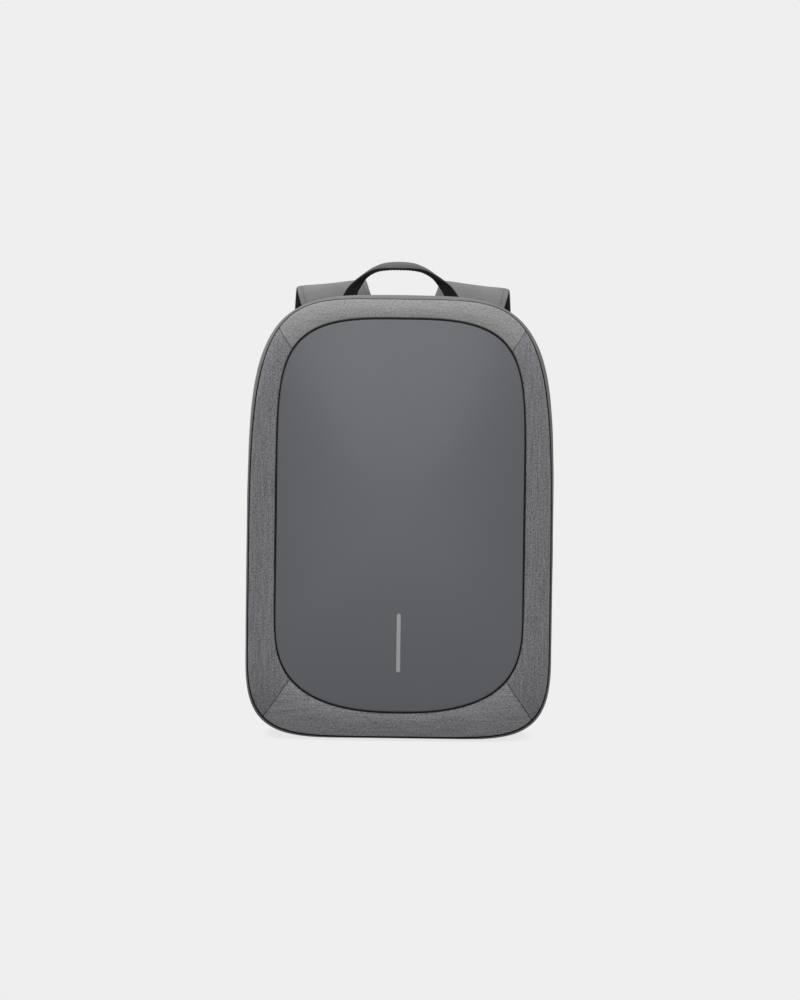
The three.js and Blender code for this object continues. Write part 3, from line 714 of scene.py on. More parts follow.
def wall(name, node, slot, stretch, places, thickness, radius, bulge, puff_reach, pucker,
         drift, shares, gaps=(GAP / 2, GAP / 2), mitre=None, grain=None, look=None):
    """A padded wall of cloth between two places of the section, its edges rolled in to a
    radius. stretch is its directions and their lengths, bulge how far it is puffed, pucker the
    depth of the stitches' dimples at its front and back. Without a mitre it goes all round."""
    angles, lengths = stretch
    start = moved(PLACE[places[0]], angles, gaps[0])
    end = moved(PLACE[places[1]], angles, -gaps[1])
    offsets = radius * (1 - np.cos(np.linspace(0, np.pi / 2, EDGE_ROWS)))
    front = [moved(start, angles, offset) for offset in offsets]
    back = [moved(end, angles, -offset) for offset in offsets[::-1]]
    middle = [mix(front[-1], back[0], share) for share in shares]
    outer = np.stack(front + middle + back)
    points = skin(outer, angles)
    steps = np.linalg.norm(np.diff(points, axis=0), axis=-1)
    from_front = np.concatenate([np.zeros((1, len(angles))), np.cumsum(steps, axis=0)])
    width = from_front[-1]
    from_back = width - from_front
    from_seam = np.minimum(from_front, from_back)
    long_wave = wander(lengths, 97, 3) * 0.5
    short_wave = wander(lengths + from_front * 0.7, 41, 7) * 0.3
    depth = (
        rounded(from_front, radius) + rounded(from_back, radius)
        - bulge * np.sin(np.clip(from_seam / puff_reach, 0, 1) * np.pi / 2)
        + puckers(lengths, from_front, pucker[0], seed=2)
        + puckers(lengths, from_back, pucker[1], seed=5)
        + drift * np.clip(from_seam / DRIFT_REACH, 0, 1) * (long_wave + short_wave))
    closed = mitre is None
    if not closed:
        from_end = np.minimum(lengths - lengths[0], lengths[-1] - lengths)
        dimples = puckers(from_front, from_end, mitre * 0.25, fade=2, seed=4)
        depth = depth + rounded(from_end, mitre) + dimples
    face = points - skin_normal(outer, angles) * depth[..., None]
    face[..., 2] = np.maximum(face[..., 2], 0)
    lining = np.linspace(0, 1, LINING_ROWS)
    inner_places = np.stack([mix(end, start, share) for share in lining])
    inner = skin(inner_places, angles) - skin_normal(inner_places, angles) * thickness
    loops = np.concatenate([face, inner]).transpose(1, 0, 2)
    if grain is None:
        across = np.concatenate([from_front, width * (1 - lining[:, None]), from_front[:1]])
        along = np.broadcast_to(lengths, across.shape)
    else:
        flat = np.concatenate([face, inner, face[:1]])
        along = flat[..., grain]
        across = SLANT_STRETCH * flat[..., 2 - grain]
    cloth = np.stack([along, across], -1).transpose(1, 0, 2)
    return sweep(name, loops[:-1] if closed else loops, cloth, look or slot, [node], closed)


def frame_pieces():
    trim = math.degrees(GAP / BODY_WIDTH)
    for name, (start, end, grain, look) in FRAME_STRETCHES.items():
        stretch = even_directions(start + trim, end - trim, 1.0, closer_ends=MITRE_STEPS)
        wall(f"frame_{name}_cloth", f"frame_{name}", "woven_fabric", stretch,
             ("panel", "seam"), FRAME_WALL, radius=0.8, bulge=0.9, puff_reach=9,
             pucker=(0.45, 0.2), drift=0.18, shares=eased(20), gaps=(GROOVE_HALF, GROOVE_HALF),
             mitre=MITRE_RADIUS, grain=grain, look=look)


def gusset():
    # The gusset wears the darker copy of the smooth fabric: painted shade
    wall("gusset_cloth", "gusset", "smooth_fabric", all_round(2.0), ("seam", "zip_front"),
         GUSSET_WALL, radius=0.8, bulge=0.3, puff_reach=10, pucker=(0.18, 0.3), drift=0.22,
         shares=eased(30, 1.3), gaps=(GROOVE_HALF, GAP / 2), look="wall_fabric_painted_shade")


def back_rim():
    wall("back_rim_cloth", "back_rim", "smooth_fabric", all_round(2.0), ("zip_back", "rim"),
         RIM_WALL, radius=1.6, bulge=0.3, puff_reach=5, pucker=(0.3, 0.25), drift=0.12,
         shares=eased(10, 1.3), gaps=(GAP / 2, 0))


def piping_cord(name, place, *sunk):
    """A cord in a seam: how deep it is sunk along the bottom, the sides and the top"""
    angles, lengths = all_round(3.0)
    depth = np.interp(np.sin(angles), (-0.9, -0.75, 0.72, 0.92), np.repeat(sunk, (1, 2, 1)))
    spots, out, along = skin_frames(PLACE[place], angles)
    sides = 10
    cosine, sine = circle(sides)
    radius = PIPING_WIDTH / 2
    ring = cosine[:, None] * out[:, None] + sine[:, None] * along[:, None]
    loops = ((spots - out * depth[:, None])[:, None] + radius * ring)[:-1]
    loops[..., 2] = np.maximum(loops[..., 2], 0)
    around = np.linspace(0, 2 * np.pi * radius, sides + 1)
    cloth = np.stack(np.broadcast_arrays(lengths[:, None], around[None]), -1)
    sweep(f"{name}_cord", loops, cloth, "piping", [name], closed=True)


# The front panel and the back panel are plates that fill an outline
PLATE_EDGE_ROWS = 6


def filled(name, inset, radius, rings, half_width, half_height):
    """A square grid fitted into an outline, its last rings close together on the rounded edge:
    each point's place, share of the way out and distance from the edge, the quads of the grid
    and the points of its border"""
    side = 2 * rings + 1
    column, row = np.meshgrid(np.arange(-rings, rings + 1), np.arange(-rings, rings + 1))
    ring = np.maximum(np.abs(column), np.abs(row))
    safe = np.maximum(ring, 1)
    angle = np.arctan2(row / safe * half_height, column / safe * half_width)
    whole = reach(name, angle) - inset
    edge_steps = radius * (1 - np.sin(np.linspace(0, np.pi / 2, PLATE_EDGE_ROWS)))
    inner = rings - PLATE_EDGE_ROWS + 1
    share = np.minimum(ring / inner, 1)
    insets = np.concatenate([np.full(inner, edge_steps[0]), edge_steps])
    distance = share * whole - insets[ring] * share
    corners, _ = grid_corners(side, side, 0, 0)
    border = np.concatenate([
        np.arange(side), np.arange(2, side + 1) * side - 1,
        side * side - 2 - np.arange(side - 1), (side - 2 - np.arange(side - 2)) * side])
    x = distance * np.cos(angle)
    z = CENTRE_HEIGHT + distance * np.sin(angle)
    return x, z, distance / whole, whole - distance, corners.tolist(), border


def plate(name, node, slot, points, faces):
    """A piece whose cloth lies flat against the middle plane"""
    faces = turned_out(points, faces)
    flat = np.concatenate([np.array(face) for face in faces])
    return new_piece(name, points, faces, slot, [node], points[flat][:, [0, 2]])


def crown(share):
    return PANEL_CROWN * (1 - np.clip(share, 0, 1) ** CROWN_POWER)


def front_panel():
    radius = 0.9
    x, z, share, from_edge, faces, border = filled(
        "panel", GROOVE_HALF, radius, 76, PANEL_WIDTH / 2,
        (BODY_HEIGHT - PANEL_DROP - PANEL_FOOT) / 2)
    depth = -PANEL_FORWARD - crown(share) + rounded(from_edge, radius)
    face = np.stack([x, depth, z], -1).reshape(-1, 3)
    count = len(face)
    following = np.roll(border, -1)
    faces += [[corner + count for corner in quad[::-1]] for quad in faces]
    faces += np.stack([border, border + count, following + count, following], -1).tolist()
    points = np.concatenate([face, face + [0, PANEL_WALL, 0]])
    plate("front_panel_skin", "front_panel", "coated_panel", points, faces)


def panel_face(height):
    """The depth of the front panel's face at heights on the middle line"""
    angle = np.where(height < CENTRE_HEIGHT, -np.pi / 2, np.pi / 2)
    whole = reach("panel", angle) - GROOVE_HALF
    return -PANEL_FORWARD - crown(np.abs(height - CENTRE_HEIGHT) / whole)


def reflective_strip():
    """A thin bar with round ends, lying on the front panel's dome"""
    half = STRIP_WIDTH / 2
    ends = half * (1 - np.cos(np.linspace(0.12, np.pi / 2, 9)))
    middle = np.linspace(half, STRIP_LENGTH - half, 30)[1:-1]
    along = np.concatenate([ends, middle, STRIP_LENGTH - ends[::-1]])
    from_end = np.minimum(along, STRIP_LENGTH - along)
    width = np.sqrt(half ** 2 - np.clip(half - from_end, 0, half) ** 2)
    heights = STRIP_FOOT + along
    face = panel_face(heights) - 0.02
    bevel = STRIP_THICKNESS * 0.5
    narrowest = width * 0.3
    section = both_sides([(0, 0), (-bevel, 0), (-STRIP_THICKNESS, bevel)])
    loops = np.stack([
        np.stack([side * np.maximum(width - inset, narrowest), face + lift, heights], -1)
        for side, lift, inset in section], 1)
    across = np.concatenate([loops[..., 0], loops[:, :1, 0]], 1)
    cloth = np.stack(np.broadcast_arrays(heights[:, None], across), -1)
    sweep("reflective_bar", loops, cloth, "reflective", ["reflective_strip"],
          sharp=40)


def pad_corners():
    """The corners of the back's raised pads, going round each of them"""
    high_reach = PAD_TOP - PAD_FOOT - PAD_SLANT - (PAD_ROWS - 1) * CROSS_CHANNEL
    row_height = high_reach / PAD_ROWS
    for side in (-1, 1):
        for row in range(PAD_ROWS):
            low = PAD_FOOT + row * (row_height + CROSS_CHANNEL)
            high = low + row_height
            inside, outside = side * CHANNEL_WIDTH / 2, side * PAD_REACH
            corners = [(inside, low), (outside, low + PAD_SLANT),
                       (outside, high + PAD_SLANT), (inside, high)]
            yield corners if side > 0 else corners[::-1]


def inside_distance(x, z, corners, radius):
    """How far points lie inside a polygon with rounded corners; negative outside it"""
    corners = np.array(corners, float)
    offsets = []
    for start, end in zip(corners, np.roll(corners, -1, 0)):
        edge = unit(end - start)
        offsets.append((x - start[0]) * -edge[1] + (z - start[1]) * edge[0] - radius)
    offsets = np.stack(offsets)
    nearest = offsets.min(0)
    two = np.sort(offsets, axis=0)[:2]
    corner = -np.sqrt(np.sum(np.minimum(two, 0) ** 2, axis=0))
    return np.where(nearest < 0, corner, nearest) + radius


def back_panel():
    x, z, _, from_edge, faces, border = filled(
        "back", RIM_WALL + GAP / 2, BACK_ROUND, 112, BODY_WIDTH / 2 - BACK_INSET,
        BODY_HEIGHT / 2 - BACK_INSET)
    rise = np.zeros_like(x)
    for pad in pad_corners():
        inner = inside_distance(x, z, pad, PAD_CORNER)
        share = np.clip(inner / PAD_SLOPE, 0, 1)
        pillow = np.sqrt(1 - (1 - share) ** 2) * (PAD_RISE - PAD_SUNK)
        dome = PAD_DOME * (1 - np.exp(-np.clip(inner, 0, None) / PAD_DOME_REACH))
        seam = PAD_SEAM_DEPTH * np.exp(-((inner + PAD_SEAM_OUT) / PAD_SEAM_WIDTH) ** 2)
        around = np.arctan2(z - pad[0][1], x - pad[0][0]) * PAD_TURN_LENGTH
        dimples = puckers(around, np.abs(inner), PAD_PUCKER, pitch=5, fade=3)
        rise = np.maximum(rise, pillow + dome) - seam - np.where(inner > -PAD_SLOPE, dimples, 0)
    quilt = 0.25 * wander(x + 0.3 * z, 83, 2) * np.clip(from_edge / 12, 0, 1)
    depth = BACK_FACE + rise + quilt - rounded(from_edge, BACK_ROUND)
    face = np.stack([x, depth, z], -1).reshape(-1, 3)
    skirt = face[border].copy()
    skirt[:, 1] = BACK_FACE - BACK_THICKNESS
    low = np.arange(len(border)) + len(face)
    faces += np.stack([border, low, np.roll(low, -1), np.roll(border, -1)], -1).tolist()
    faces.append(low[::-1].tolist())
    piece = plate("back_padding", "back_panel", "mesh_fabric", np.concatenate([face, skirt]), faces)


# The zip
def node_box(name):
    low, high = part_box(name)
    return np.array(low) / MM, np.array(high) / MM


def zip_start():
    """The direction, in degrees, at which the zip starts beside the hinge strip"""
    _, high = node_box("hinge_strip")
    angles = np.radians(np.linspace(-89, -45, 400))
    return math.degrees(np.interp(high[0], skin(ZIP_MIDDLE, angles)[:, 0], angles))


def zip_and_hinge():
    start = zip_start()
    end = 180 - start
    trim = 0.06
    for name, node, slot, first, last, radius, bulge, pucker in (
            ("zip_cloth", "zip_tape", "zip_tape", start, end, 0.4, -0.7, 0),
            ("hinge_cloth", "hinge_strip", "smooth_fabric", end, 360 + start, 0.8, 0, 0.15)):
        stretch = even_directions(first + trim, last - trim, 2.5, ZIP_MIDDLE)
        wall(name, node, slot, stretch, ("zip_front", "zip_back"), ZIP_WALL, radius=radius,
             bulge=bulge, puff_reach=1.0, pucker=(pucker, pucker), drift=0, shares=eased(6, 1),
             mitre=0.1)
    zip_teeth(start, end)


def zip_teeth(start, end):
    """The zip's two rows of coil loops, meshed in the middle: one small bar a loop"""
    pitch = 1.7
    sunk = 0.35
    angles, _ = even_directions(start + 0.3, end - 0.3, pitch, ZIP_MIDDLE)
    centre, out, across = skin_frames(ZIP_MIDDLE, angles)
    along = unit(np.cross(out, across))
    stations = np.array([
        (-0.55, 0.1, 0.35), (-0.2, 0.36, 0.5), (1.2, 0.38, 0.56), (2.3, 0.36, 0.5),
        (2.75, 0.1, 0.3)])
    reach_out, half_width, half_height = stations.T[..., None, None]
    cosine, sine = (wave[:, None] for wave in circle(6))
    ring = (along[:, None, None] * half_width * cosine + out[:, None, None] * half_height * sine)
    rows = []
    for side, shift in ((-1, 0), (1, pitch / 2)):
        spots = centre + along * shift - out * sunk
        middle = spots[:, None, None] + across[:, None, None] * side * reach_out
        rows.append((middle + ring)[:, ::side])
    bars("zip_coil", np.concatenate(rows), "plastic")


def bevelled(name, points, faces, width, segments, nodes=()):
    """A moulded piece with its sharp edges rounded off"""
    piece = new_piece(name, points, turned_out(points, faces), "plastic", nodes)
    modifier = piece.modifiers.new("bevel", "BEVEL")
    modifier.width = width * MM
    modifier.segments = segments
    modifier.limit_method = "ANGLE"
    modifier.angle_limit = math.radians(35)
    graph = bpy.context.evaluated_depsgraph_get()
    finished = bpy.data.meshes.new_from_object(piece.evaluated_get(graph))
    piece.modifiers.clear()
    old = piece.data
    piece.data = finished
    bpy.data.meshes.remove(old)
    finished.name = name
    finished.shade_smooth()


def plate_with_holes(x_lines, y_lines, holes, thickness):
    """A flat plate made of the cells of a grid that aren't holes, as points and faces"""
    points = []
    numbers = {}
    faces = []

    def number(column, row, level):
        key = (column, row, level)
        if key not in numbers:
            numbers[key] = len(points)
            points.append((x_lines[column], y_lines[row], (level - 0.5) * thickness))
        return numbers[key]

    cells = {
        (column, row) for column in range(len(x_lines) - 1) for row in range(len(y_lines) - 1)
    } - set(holes)
    for column, row in sorted(cells):
        corners = [(column, row), (column + 1, row), (column + 1, row + 1), (column, row + 1)]
        faces.append([number(*corner, 1) for corner in corners])
        faces.append([number(*corner, 0) for corner in corners][::-1])
        beside = [(column, row - 1), (column + 1, row), (column, row + 1), (column - 1, row)]
        for index, neighbour in enumerate(beside):
            if neighbour not in cells:
                first, second = corners[index], corners[(index + 1) % 4]
                faces.append([number(*first, 0), number(*second, 0), number(*second, 1),
                              number(*first, 1)])
    return np.array(points), faces


def placed(points, origin, right, onward, up):
    """Points given as right, onward and up from an origin"""
    return origin + points[:, :1] * right + points[:, 1:2] * onward + points[:, 2:] * up


def zip_pull():
    """The slider and its pull tab, where the frame holds them"""
    low, high = node_box("zip_pull")
    angles = np.radians(np.linspace(-60, 60, 1500))
    above_middle = 7
    slider = (low + high) / 2 + [0, 0, above_middle]
    nearest = np.argmin(np.linalg.norm(skin(ZIP_MIDDLE, angles) - slider, axis=1))
    best = angles[nearest:nearest + 1]
    out = skin_normal(np.array([ZIP_MIDDLE]), best)[0]
    spot = skin(ZIP_MIDDLE, best)[0]
    along = unit(skin(ZIP_MIDDLE, best - NUDGE)[0] - spot)
    across = unit(np.cross(along, out))
    slider_lift, tab_lift = 1.4, 3.2
    narrowing = 0.82
    points, faces = plate_with_holes([-4, -2.6, 2.6, 4], [-6, -3, 3, 6], [], 2.2)
    points[:, 0] *= np.where(points[:, 1] > 0, narrowing, 1.0)
    points = placed(points, spot + out * slider_lift, across, along, out)
    bevelled("zip_slider", points, faces, 0.7, 3)
    points, faces = plate_with_holes(
        [-3.2, -1.6, 1.6, 3.2], [4, 1, -18, -22, -26], [(1, 0)], 1.6)
    points = placed(points, spot + out * tab_lift, across, along, out)
    bevelled("zip_tab", points, faces, 0.6, 3, ["zip_pull"])


# Courses that straps follow
SMALL_SHARE = 1e-4


def curve_through(points, shares):
    """A centripetal Catmull-Rom curve through points, at shares of its rows"""
    points = np.asarray(points, float)
    last = len(points) - 1
    spot = np.clip(shares, 0, 1) * last
    low = np.clip(np.floor(spot).astype(int), 0, last - 1)
    share = (spot - low)[:, None]
    padded = np.concatenate([
        [2 * points[0] - points[1]], points, [2 * points[-1] - points[-2]]])
    before, start, end, after = (padded[low + offset] for offset in range(4))

    def span(first, second):
        squared = np.sum((second - first) ** 2, -1, keepdims=True)
        return np.maximum(squared ** 0.25, 1e-3)

    first, second, third = span(before, start), span(start, end), span(end, after)
    leave = (start - before) / first - (end - before) / (first + second) + (end - start) / second
    arrive = (end - start) / second - (after - start) / (second + third) + (after - end) / third
    return cubic_between(start, end, leave * second, arrive * second, share)


def heading(points, shares):
    return unit(curve_through(points, shares + SMALL_SHARE)
                - curve_through(points, shares - SMALL_SHARE))


def course_frames(points, shares, widthways):
    """Points on a course with their directions along it, across it and outward"""
    spots = curve_through(points, shares)
    along = heading(points, shares)
    across = unit(widthways - along * np.sum(widthways * along, -1, keepdims=True))
    return {"point": spots, "along": along, "across": across, "out": np.cross(across, along)}


def on_frames(frames, sideways, outwards):
    """Loops of points, given by how far they lie sideways and outward of each frame"""
    sideways, outwards = np.broadcast_arrays(sideways, outwards)
    return (frames["point"][:, None] + frames["across"][:, None] * sideways[..., None]
            + frames["out"][:, None] * outwards[..., None])


def mirrored_points(points, side):
    return points * np.array([side, 1, 1])


def band_cloth(frames, sideways, shift):
    """Places in a band's cloth, closing the way round it"""
    across = np.concatenate([sideways, sideways[:, :1]], 1) + shift
    length = lengths_along(frames["point"])[:, None]
    return np.stack(np.broadcast_arrays(length, across), -1)


def half_round(half, count, across, along):
    """A squared half round from edge to edge, by the powers: sideways places and heights"""
    turns = np.linspace(0, np.pi, count)[None]
    cosine = -np.cos(turns)
    return np.sign(cosine) * np.abs(cosine) ** (2 / across) * half, np.sin(turns) ** (2 / along)


def cushion(name, frames, sideways, outwards, near, columns, look, node, side, shift):
    """A padded band: its face, and an underside of some columns lying near the frames"""
    under = frames["half"][:, None] * np.linspace(UNDER_SHARE, -UNDER_SHARE, columns)[None]
    loops = np.concatenate([
        on_frames(frames, sideways, outwards), on_frames(frames, under, near)], 1)
    cloth = band_cloth(frames, np.concatenate([sideways, under], 1), shift)
    piece = sweep(name, mirrored_points(loops, side), cloth, look, [node])


# Shares of the body's height, of how far the strap stands off, of the way from its first
# centre line to its last, and of its width; and the slope of its width
STRAP_ROWS = np.array([
    (0.877, 0, 0, 1, 0.36),
    (0.934, 0, 0.17, 1, 0.36),
    (0.984, 0.06, 0.33, 1, 0.32),
    (1.017, 0.22, 0.42, 1, 0.2),
    (1.025, 0.45, 0.45, 1, 0.115),
    (1.012, 0.68, 0.49, 0.98, 0.04),
    (0.976, 0.86, 0.53, 0.96, -0.04),
    (0.906, 0.96, 0.58, 0.93, -0.1),
    (0.804, 1, 0.64, 0.9, -0.1),
    (0.683, 1, 0.71, 0.86, -0.1),
    (0.558, 0.95, 0.8, 0.78, -0.12),
    (0.452, 0.85, 0.9, 0.66, -0.14),
    (0.372, 0.72, 1, 0.52, -0.16),
])
STRAP_POINTS = np.stack([
    mix(STRAP_FIRST_CENTRE, STRAP_LAST_CENTRE, STRAP_ROWS[:, 2]),
    STRAP_START + STRAP_ROWS[:, 1] * STRAP_STAND_OFF,
    STRAP_ROWS[:, 0] * BODY_HEIGHT], -1)


def strap_frames(shares):
    spot = shares * (len(STRAP_ROWS) - 1)
    lean = spline_through(STRAP_ROWS[:, 4], spot)
    widthways = np.stack([np.ones_like(lean), np.zeros_like(lean), -lean], -1)
    frames = course_frames(STRAP_POINTS, shares, widthways)
    frames["half"] = spline_through(STRAP_ROWS[:, 3], spot) * STRAP_WIDTH / 2
    return frames


# The layers of a strap: where each starts and ends outward of the course, how square it is
# across and along, how it is crowned and how deep its stitched groove is
STRAP_LAYERS = {
    "cover": ("outer", "smooth_fabric", GAP / 2, STRAP_OUTER, 9, 2.2, 0.12, 0.55),
    "padding": ("mesh", "mesh_fabric", -GAP / 2, -STRAP_MESH, 6, 2.4, 0.1, 0.9),
}


def strap_layer(piece_name, side, side_name):
    """One layer of a strap, padded: round at its edges, with a groove where it is stitched"""
    layer, slot, near, far, across, along, crowning, groove = STRAP_LAYERS[piece_name]
    frames = strap_frames(np.linspace(0, 1, 230))
    half = frames["half"][:, None]
    sideways, lift = half_round(half, 41, across, along)
    crowned = lift * (1 - crowning * (sideways / half) ** 2)
    groove_width = 1.5
    dip = groove * np.exp(-((half - np.abs(sideways) - STITCH_INSET) / groove_width) ** 2)
    length = lengths_along(frames["point"])[:, None]
    pulled = 1 + 0.5 * np.cos(2 * np.pi * length / STITCH_PITCH)
    thickness = far - near
    raised = thickness * crowned - np.sign(thickness) * dip * pulled
    end_reach = 3
    end_share = 0.35
    ends = np.clip(np.minimum(length, length[-1] - length) / end_reach, 0, 1)
    outwards = near + raised * mix(end_share, 1, np.sqrt(1 - (1 - ends) ** 2))
    cushion(f"strap_{piece_name}_{side_name}", frames, sideways, outwards, near, 9, slot,
            f"strap_{layer}_{side_name}", side, 200)


def stitches(name, points, normals, look, pitch, thickness=0.5):
    """A row of stitches along a path: each a short thread that dips in at both ends"""
    share = 0.7
    lengths = lengths_along(points)
    rings = np.linspace(0, 1, 6)
    starts = (np.arange(lengths[-1] // pitch) + (1 - share) / 2) * pitch
    spots = starts[:, None] + rings[None] * pitch * share
    centre, up = (
        np.stack([np.interp(spots, lengths, rows[:, axis]) for axis in range(3)], -1)
        for rows in (points, normals))
    up = unit(up)
    beside = unit(np.cross(up, unit(centre[:, -1:] - centre[:, :1])))
    rise = thickness * (0.9 * np.sin(np.pi * rings) - 0.45)
    round_off = thickness / 2 * np.sqrt(np.clip(1 - (2 * rings - 1) ** 4, 0.12, 1))
    cosine, sine = (wave[:, None] for wave in circle(6))
    ring = cosine * up[:, :, None] + sine * beside[:, :, None]
    middle = centre + up * rise[:, None]
    bars(name, middle[:, :, None] + ring * round_off[:, None, None], look)


def edge_stitches(names, frames, inset, lift, look, side=1, facing=1, pitch=STITCH_PITCH):
    """A row of stitches along each edge of a band; facing -1 puts them on its underside"""
    normals = mirrored_points(facing * frames["out"], side)
    for edge, name in zip((-1, 1), names):
        path = on_frames(frames, edge * (frames["half"][:, None] - inset), lift)[:, 0]
        stitches(name, mirrored_points(path, side), normals, look, pitch)


def strap(side, side_name):
    for piece_name in STRAP_LAYERS:
        strap_layer(piece_name, side, side_name)
    frames = strap_frames(np.linspace(0.02, 0.985, 300))
    names = [f"strap_stitches_{edge}_{side_name}" for edge in ("inner", "outer")]
    edge_stitches(names, frames, STITCH_INSET, STRAP_OUTER - STITCH_SUNK, "grey_thread",
                  side)


def strap_end():
    frames = strap_frames(np.array([0.999, 1.0]))
    return {key: value[-1] for key, value in frames.items()}


def ladder_lock(side, side_name):
    """A moulded buckle with three bars; the lowest one is raised as a lip for the thumb"""
    end = strap_end()
    opening = WEBBING_WIDTH / 2 + GAP
    half = opening + LOCK_WALL
    x_lines = [-half, -opening, -opening / 3, opening / 3, opening, half]
    y_lines = np.cumsum([0, LOCK_BAR, LOCK_SLOT, LOCK_BAR, LOCK_SLOT, LOCK_BAR]).tolist()
    holes = [(column, row) for column in (1, 2, 3) for row in (1, 3)]
    points, faces = plate_with_holes(x_lines, y_lines, holes, LOCK_THICKNESS)
    lip_rise, corner_cut, near = 0.8, 1.2, 0.1
    points[:, 2] += np.where(points[:, 1] > y_lines[4], lip_rise, 0)
    first, last = points[:, 1] < near, points[:, 1] > y_lines[-1] - near
    outermost = np.abs(points[:, 0]) > opening + near
    points[:, 1] += outermost * corner_cut * (first.astype(int) - last)
    origin = end["point"] + end["out"] * LOCK_OUT + end["along"] * GAP
    points = mirrored_points(placed(points, origin, end["across"], end["along"], end["out"]), side)
    bevelled(f"ladder_lock_{side_name}_moulding", points, faces, 1.0, 4,
             [f"ladder_lock_{side_name}"])


def anchor_directions():
    """Along the anchor towards its lock, and across it"""
    flat = strap_end()["point"] - ANCHOR_SPOT
    flat[1] = 0
    along = unit(flat)
    return along, np.array([along[2], 0, -along[0]])


def webbing_course():
    """The webbing's course: from its anchor up to the lock, round the middle bar and down"""
    end = strap_end()
    along, _ = anchor_directions()
    lie = LOCK_THICKNESS / 2 + WEBBING_THICKNESS / 2 + GAP
    upper = GAP + LOCK_BAR + LOCK_SLOT / 2
    lower = upper + LOCK_BAR + LOCK_SLOT
    foot = lower + LOCK_SLOT / 2 + LOCK_BAR
    inner = LOCK_OUT - lie - WEBBING_THICKNESS - 3 * GAP
    local = [
        (foot + 22, inner - 3), (foot, inner), (lower, inner),
        (upper - 0.5, LOCK_OUT - lie + 0.6), (upper + 0.1, LOCK_OUT + lie - 0.7),
        (upper + LOCK_SLOT / 2 + 1, LOCK_OUT + lie), (lower - LOCK_SLOT / 2 - 1, LOCK_OUT + lie),
        (lower - 0.1, LOCK_OUT + lie - 0.7), (lower + 0.9, LOCK_OUT - lie + 0.9),
        (foot - 1, LOCK_OUT - lie), (foot + WEBBING_TAIL / 3, LOCK_OUT - lie - 0.2),
        (foot + WEBBING_TAIL, LOCK_OUT - lie + 4),
    ]
    on_panel = ANCHOR_BACK + GAP + WEBBING_THICKNESS / 2
    leaving = [(0, 0), (0.3, 0), (0.6, 0.1), (0.9, 0.6), (1.3, 2)]
    course = []
    for share, lift in leaving:
        spot = ANCHOR_SPOT + along * share * ANCHOR_LENGTH
        spot[1] = on_panel + lift * WEBBING_THICKNESS
        course.append(spot)
    for onward, out in local:
        course.append(end["point"] + end["along"] * onward + end["out"] * out)
    return np.array(course), len(leaving) / (len(leaving) + len(local) - 1)


def flat_band(name, frames, half, thickness, side, node):
    """A band of webbing with rounded edges"""
    count = len(frames["point"])
    edge = 0.5
    thick = np.broadcast_to(thickness, (count, 1)) / 2
    width = np.broadcast_to(half, (count,))[:, None]
    inset = width - [edge, 0.1, 0, edge * 0.8]
    lift = np.array([-1, -0.55, 0.45, 1]) * thick
    top = width * np.linspace(-0.9, 0.9, 7)
    level = np.broadcast_to(thick, top.shape)
    sideways = np.concatenate([-inset, top, inset[:, ::-1], -top], 1)
    outwards = np.concatenate([lift, level, lift[:, ::-1], -level], 1)
    loops = mirrored_points(on_frames(frames, sideways, outwards), side)
    sweep(name, loops, band_cloth(frames, sideways, 100), "webbing", [node])


def strap_webbing(side, side_name):
    course, leaving_share = webbing_course()
    _, anchor_across = anchor_directions()
    shares = np.linspace(0, 1, 240)
    twist = np.minimum(1, shares / leaving_share)[:, None]
    frames = course_frames(course, shares, mix(anchor_across, strap_end()["across"], twist))
    flat_band(f"webbing_{side_name}", frames, WEBBING_WIDTH / 2, WEBBING_THICKNESS, side,
              f"strap_webbing_{side_name}")
    hem_rows = 14
    tail = {key: value[-hem_rows:] for key, value in frames.items()}
    tail["half"] = np.full(hem_rows, WEBBING_WIDTH / 2)
    names = [f"webbing_hem_{side_name}_{edge}" for edge in "ab"]
    edge_stitches(names, tail, HEM_INSET, HEM_LIFT, "black_thread", side, pitch=2.6)


def strap_anchor(side, side_name):
    """The sewn tab that holds the webbing's lower end, with a stitched box and cross"""
    along, across = anchor_directions()
    ends = np.linspace(0, 1, 14)
    half = WEBBING_WIDTH / 2 + 1 + (1 - ends) * ANCHOR_SPREAD
    middle = ANCHOR_SPOT + along * ((ends - 0.25) * ANCHOR_LENGTH)[:, None]
    out = np.array([0, 1.0, 0])
    edge = 0.8
    section = both_sides([(0, -ANCHOR_THICKNESS), (0, -edge), (edge, 0)])
    loops = np.stack([
        middle + across * (sign * (half - inset))[:, None] + out * lift
        for sign, inset, lift in section], 1)
    offsets = np.array([-20, -20, -20, 20, 20, 20, -20])
    cloth = np.stack(np.broadcast_arrays((ends * ANCHOR_LENGTH)[:, None], offsets[None]), -1)
    sweep(f"anchor_tab_{side_name}", mirrored_points(loops, side), cloth, "zip_tape",
          [f"strap_anchor_{side_name}"], sharp=50)
    top = ANCHOR_BACK + GAP + WEBBING_THICKNESS + 0.05
    box_half = 9.5
    left, right, low, high = -box_half, box_half, 1, 16
    box_and_cross = np.array([
        (left, low), (right, low), (right, high), (left, high), (left, low), (right, high),
        (right, low), (left, high)])
    rows = ANCHOR_SPOT + box_and_cross[:, :1] * across + box_and_cross[:, 1:] * along
    rows[:, 1] = top
    path = np.concatenate([
        np.linspace(first, second, 12, endpoint=False)
        for first, second in zip(rows[:-1], rows[1:])])
    stitches(f"anchor_stitches_{side_name}", mirrored_points(path, side),
             np.broadcast_to(out, path.shape), "grey_thread", pitch=2.8,
             thickness=0.45)


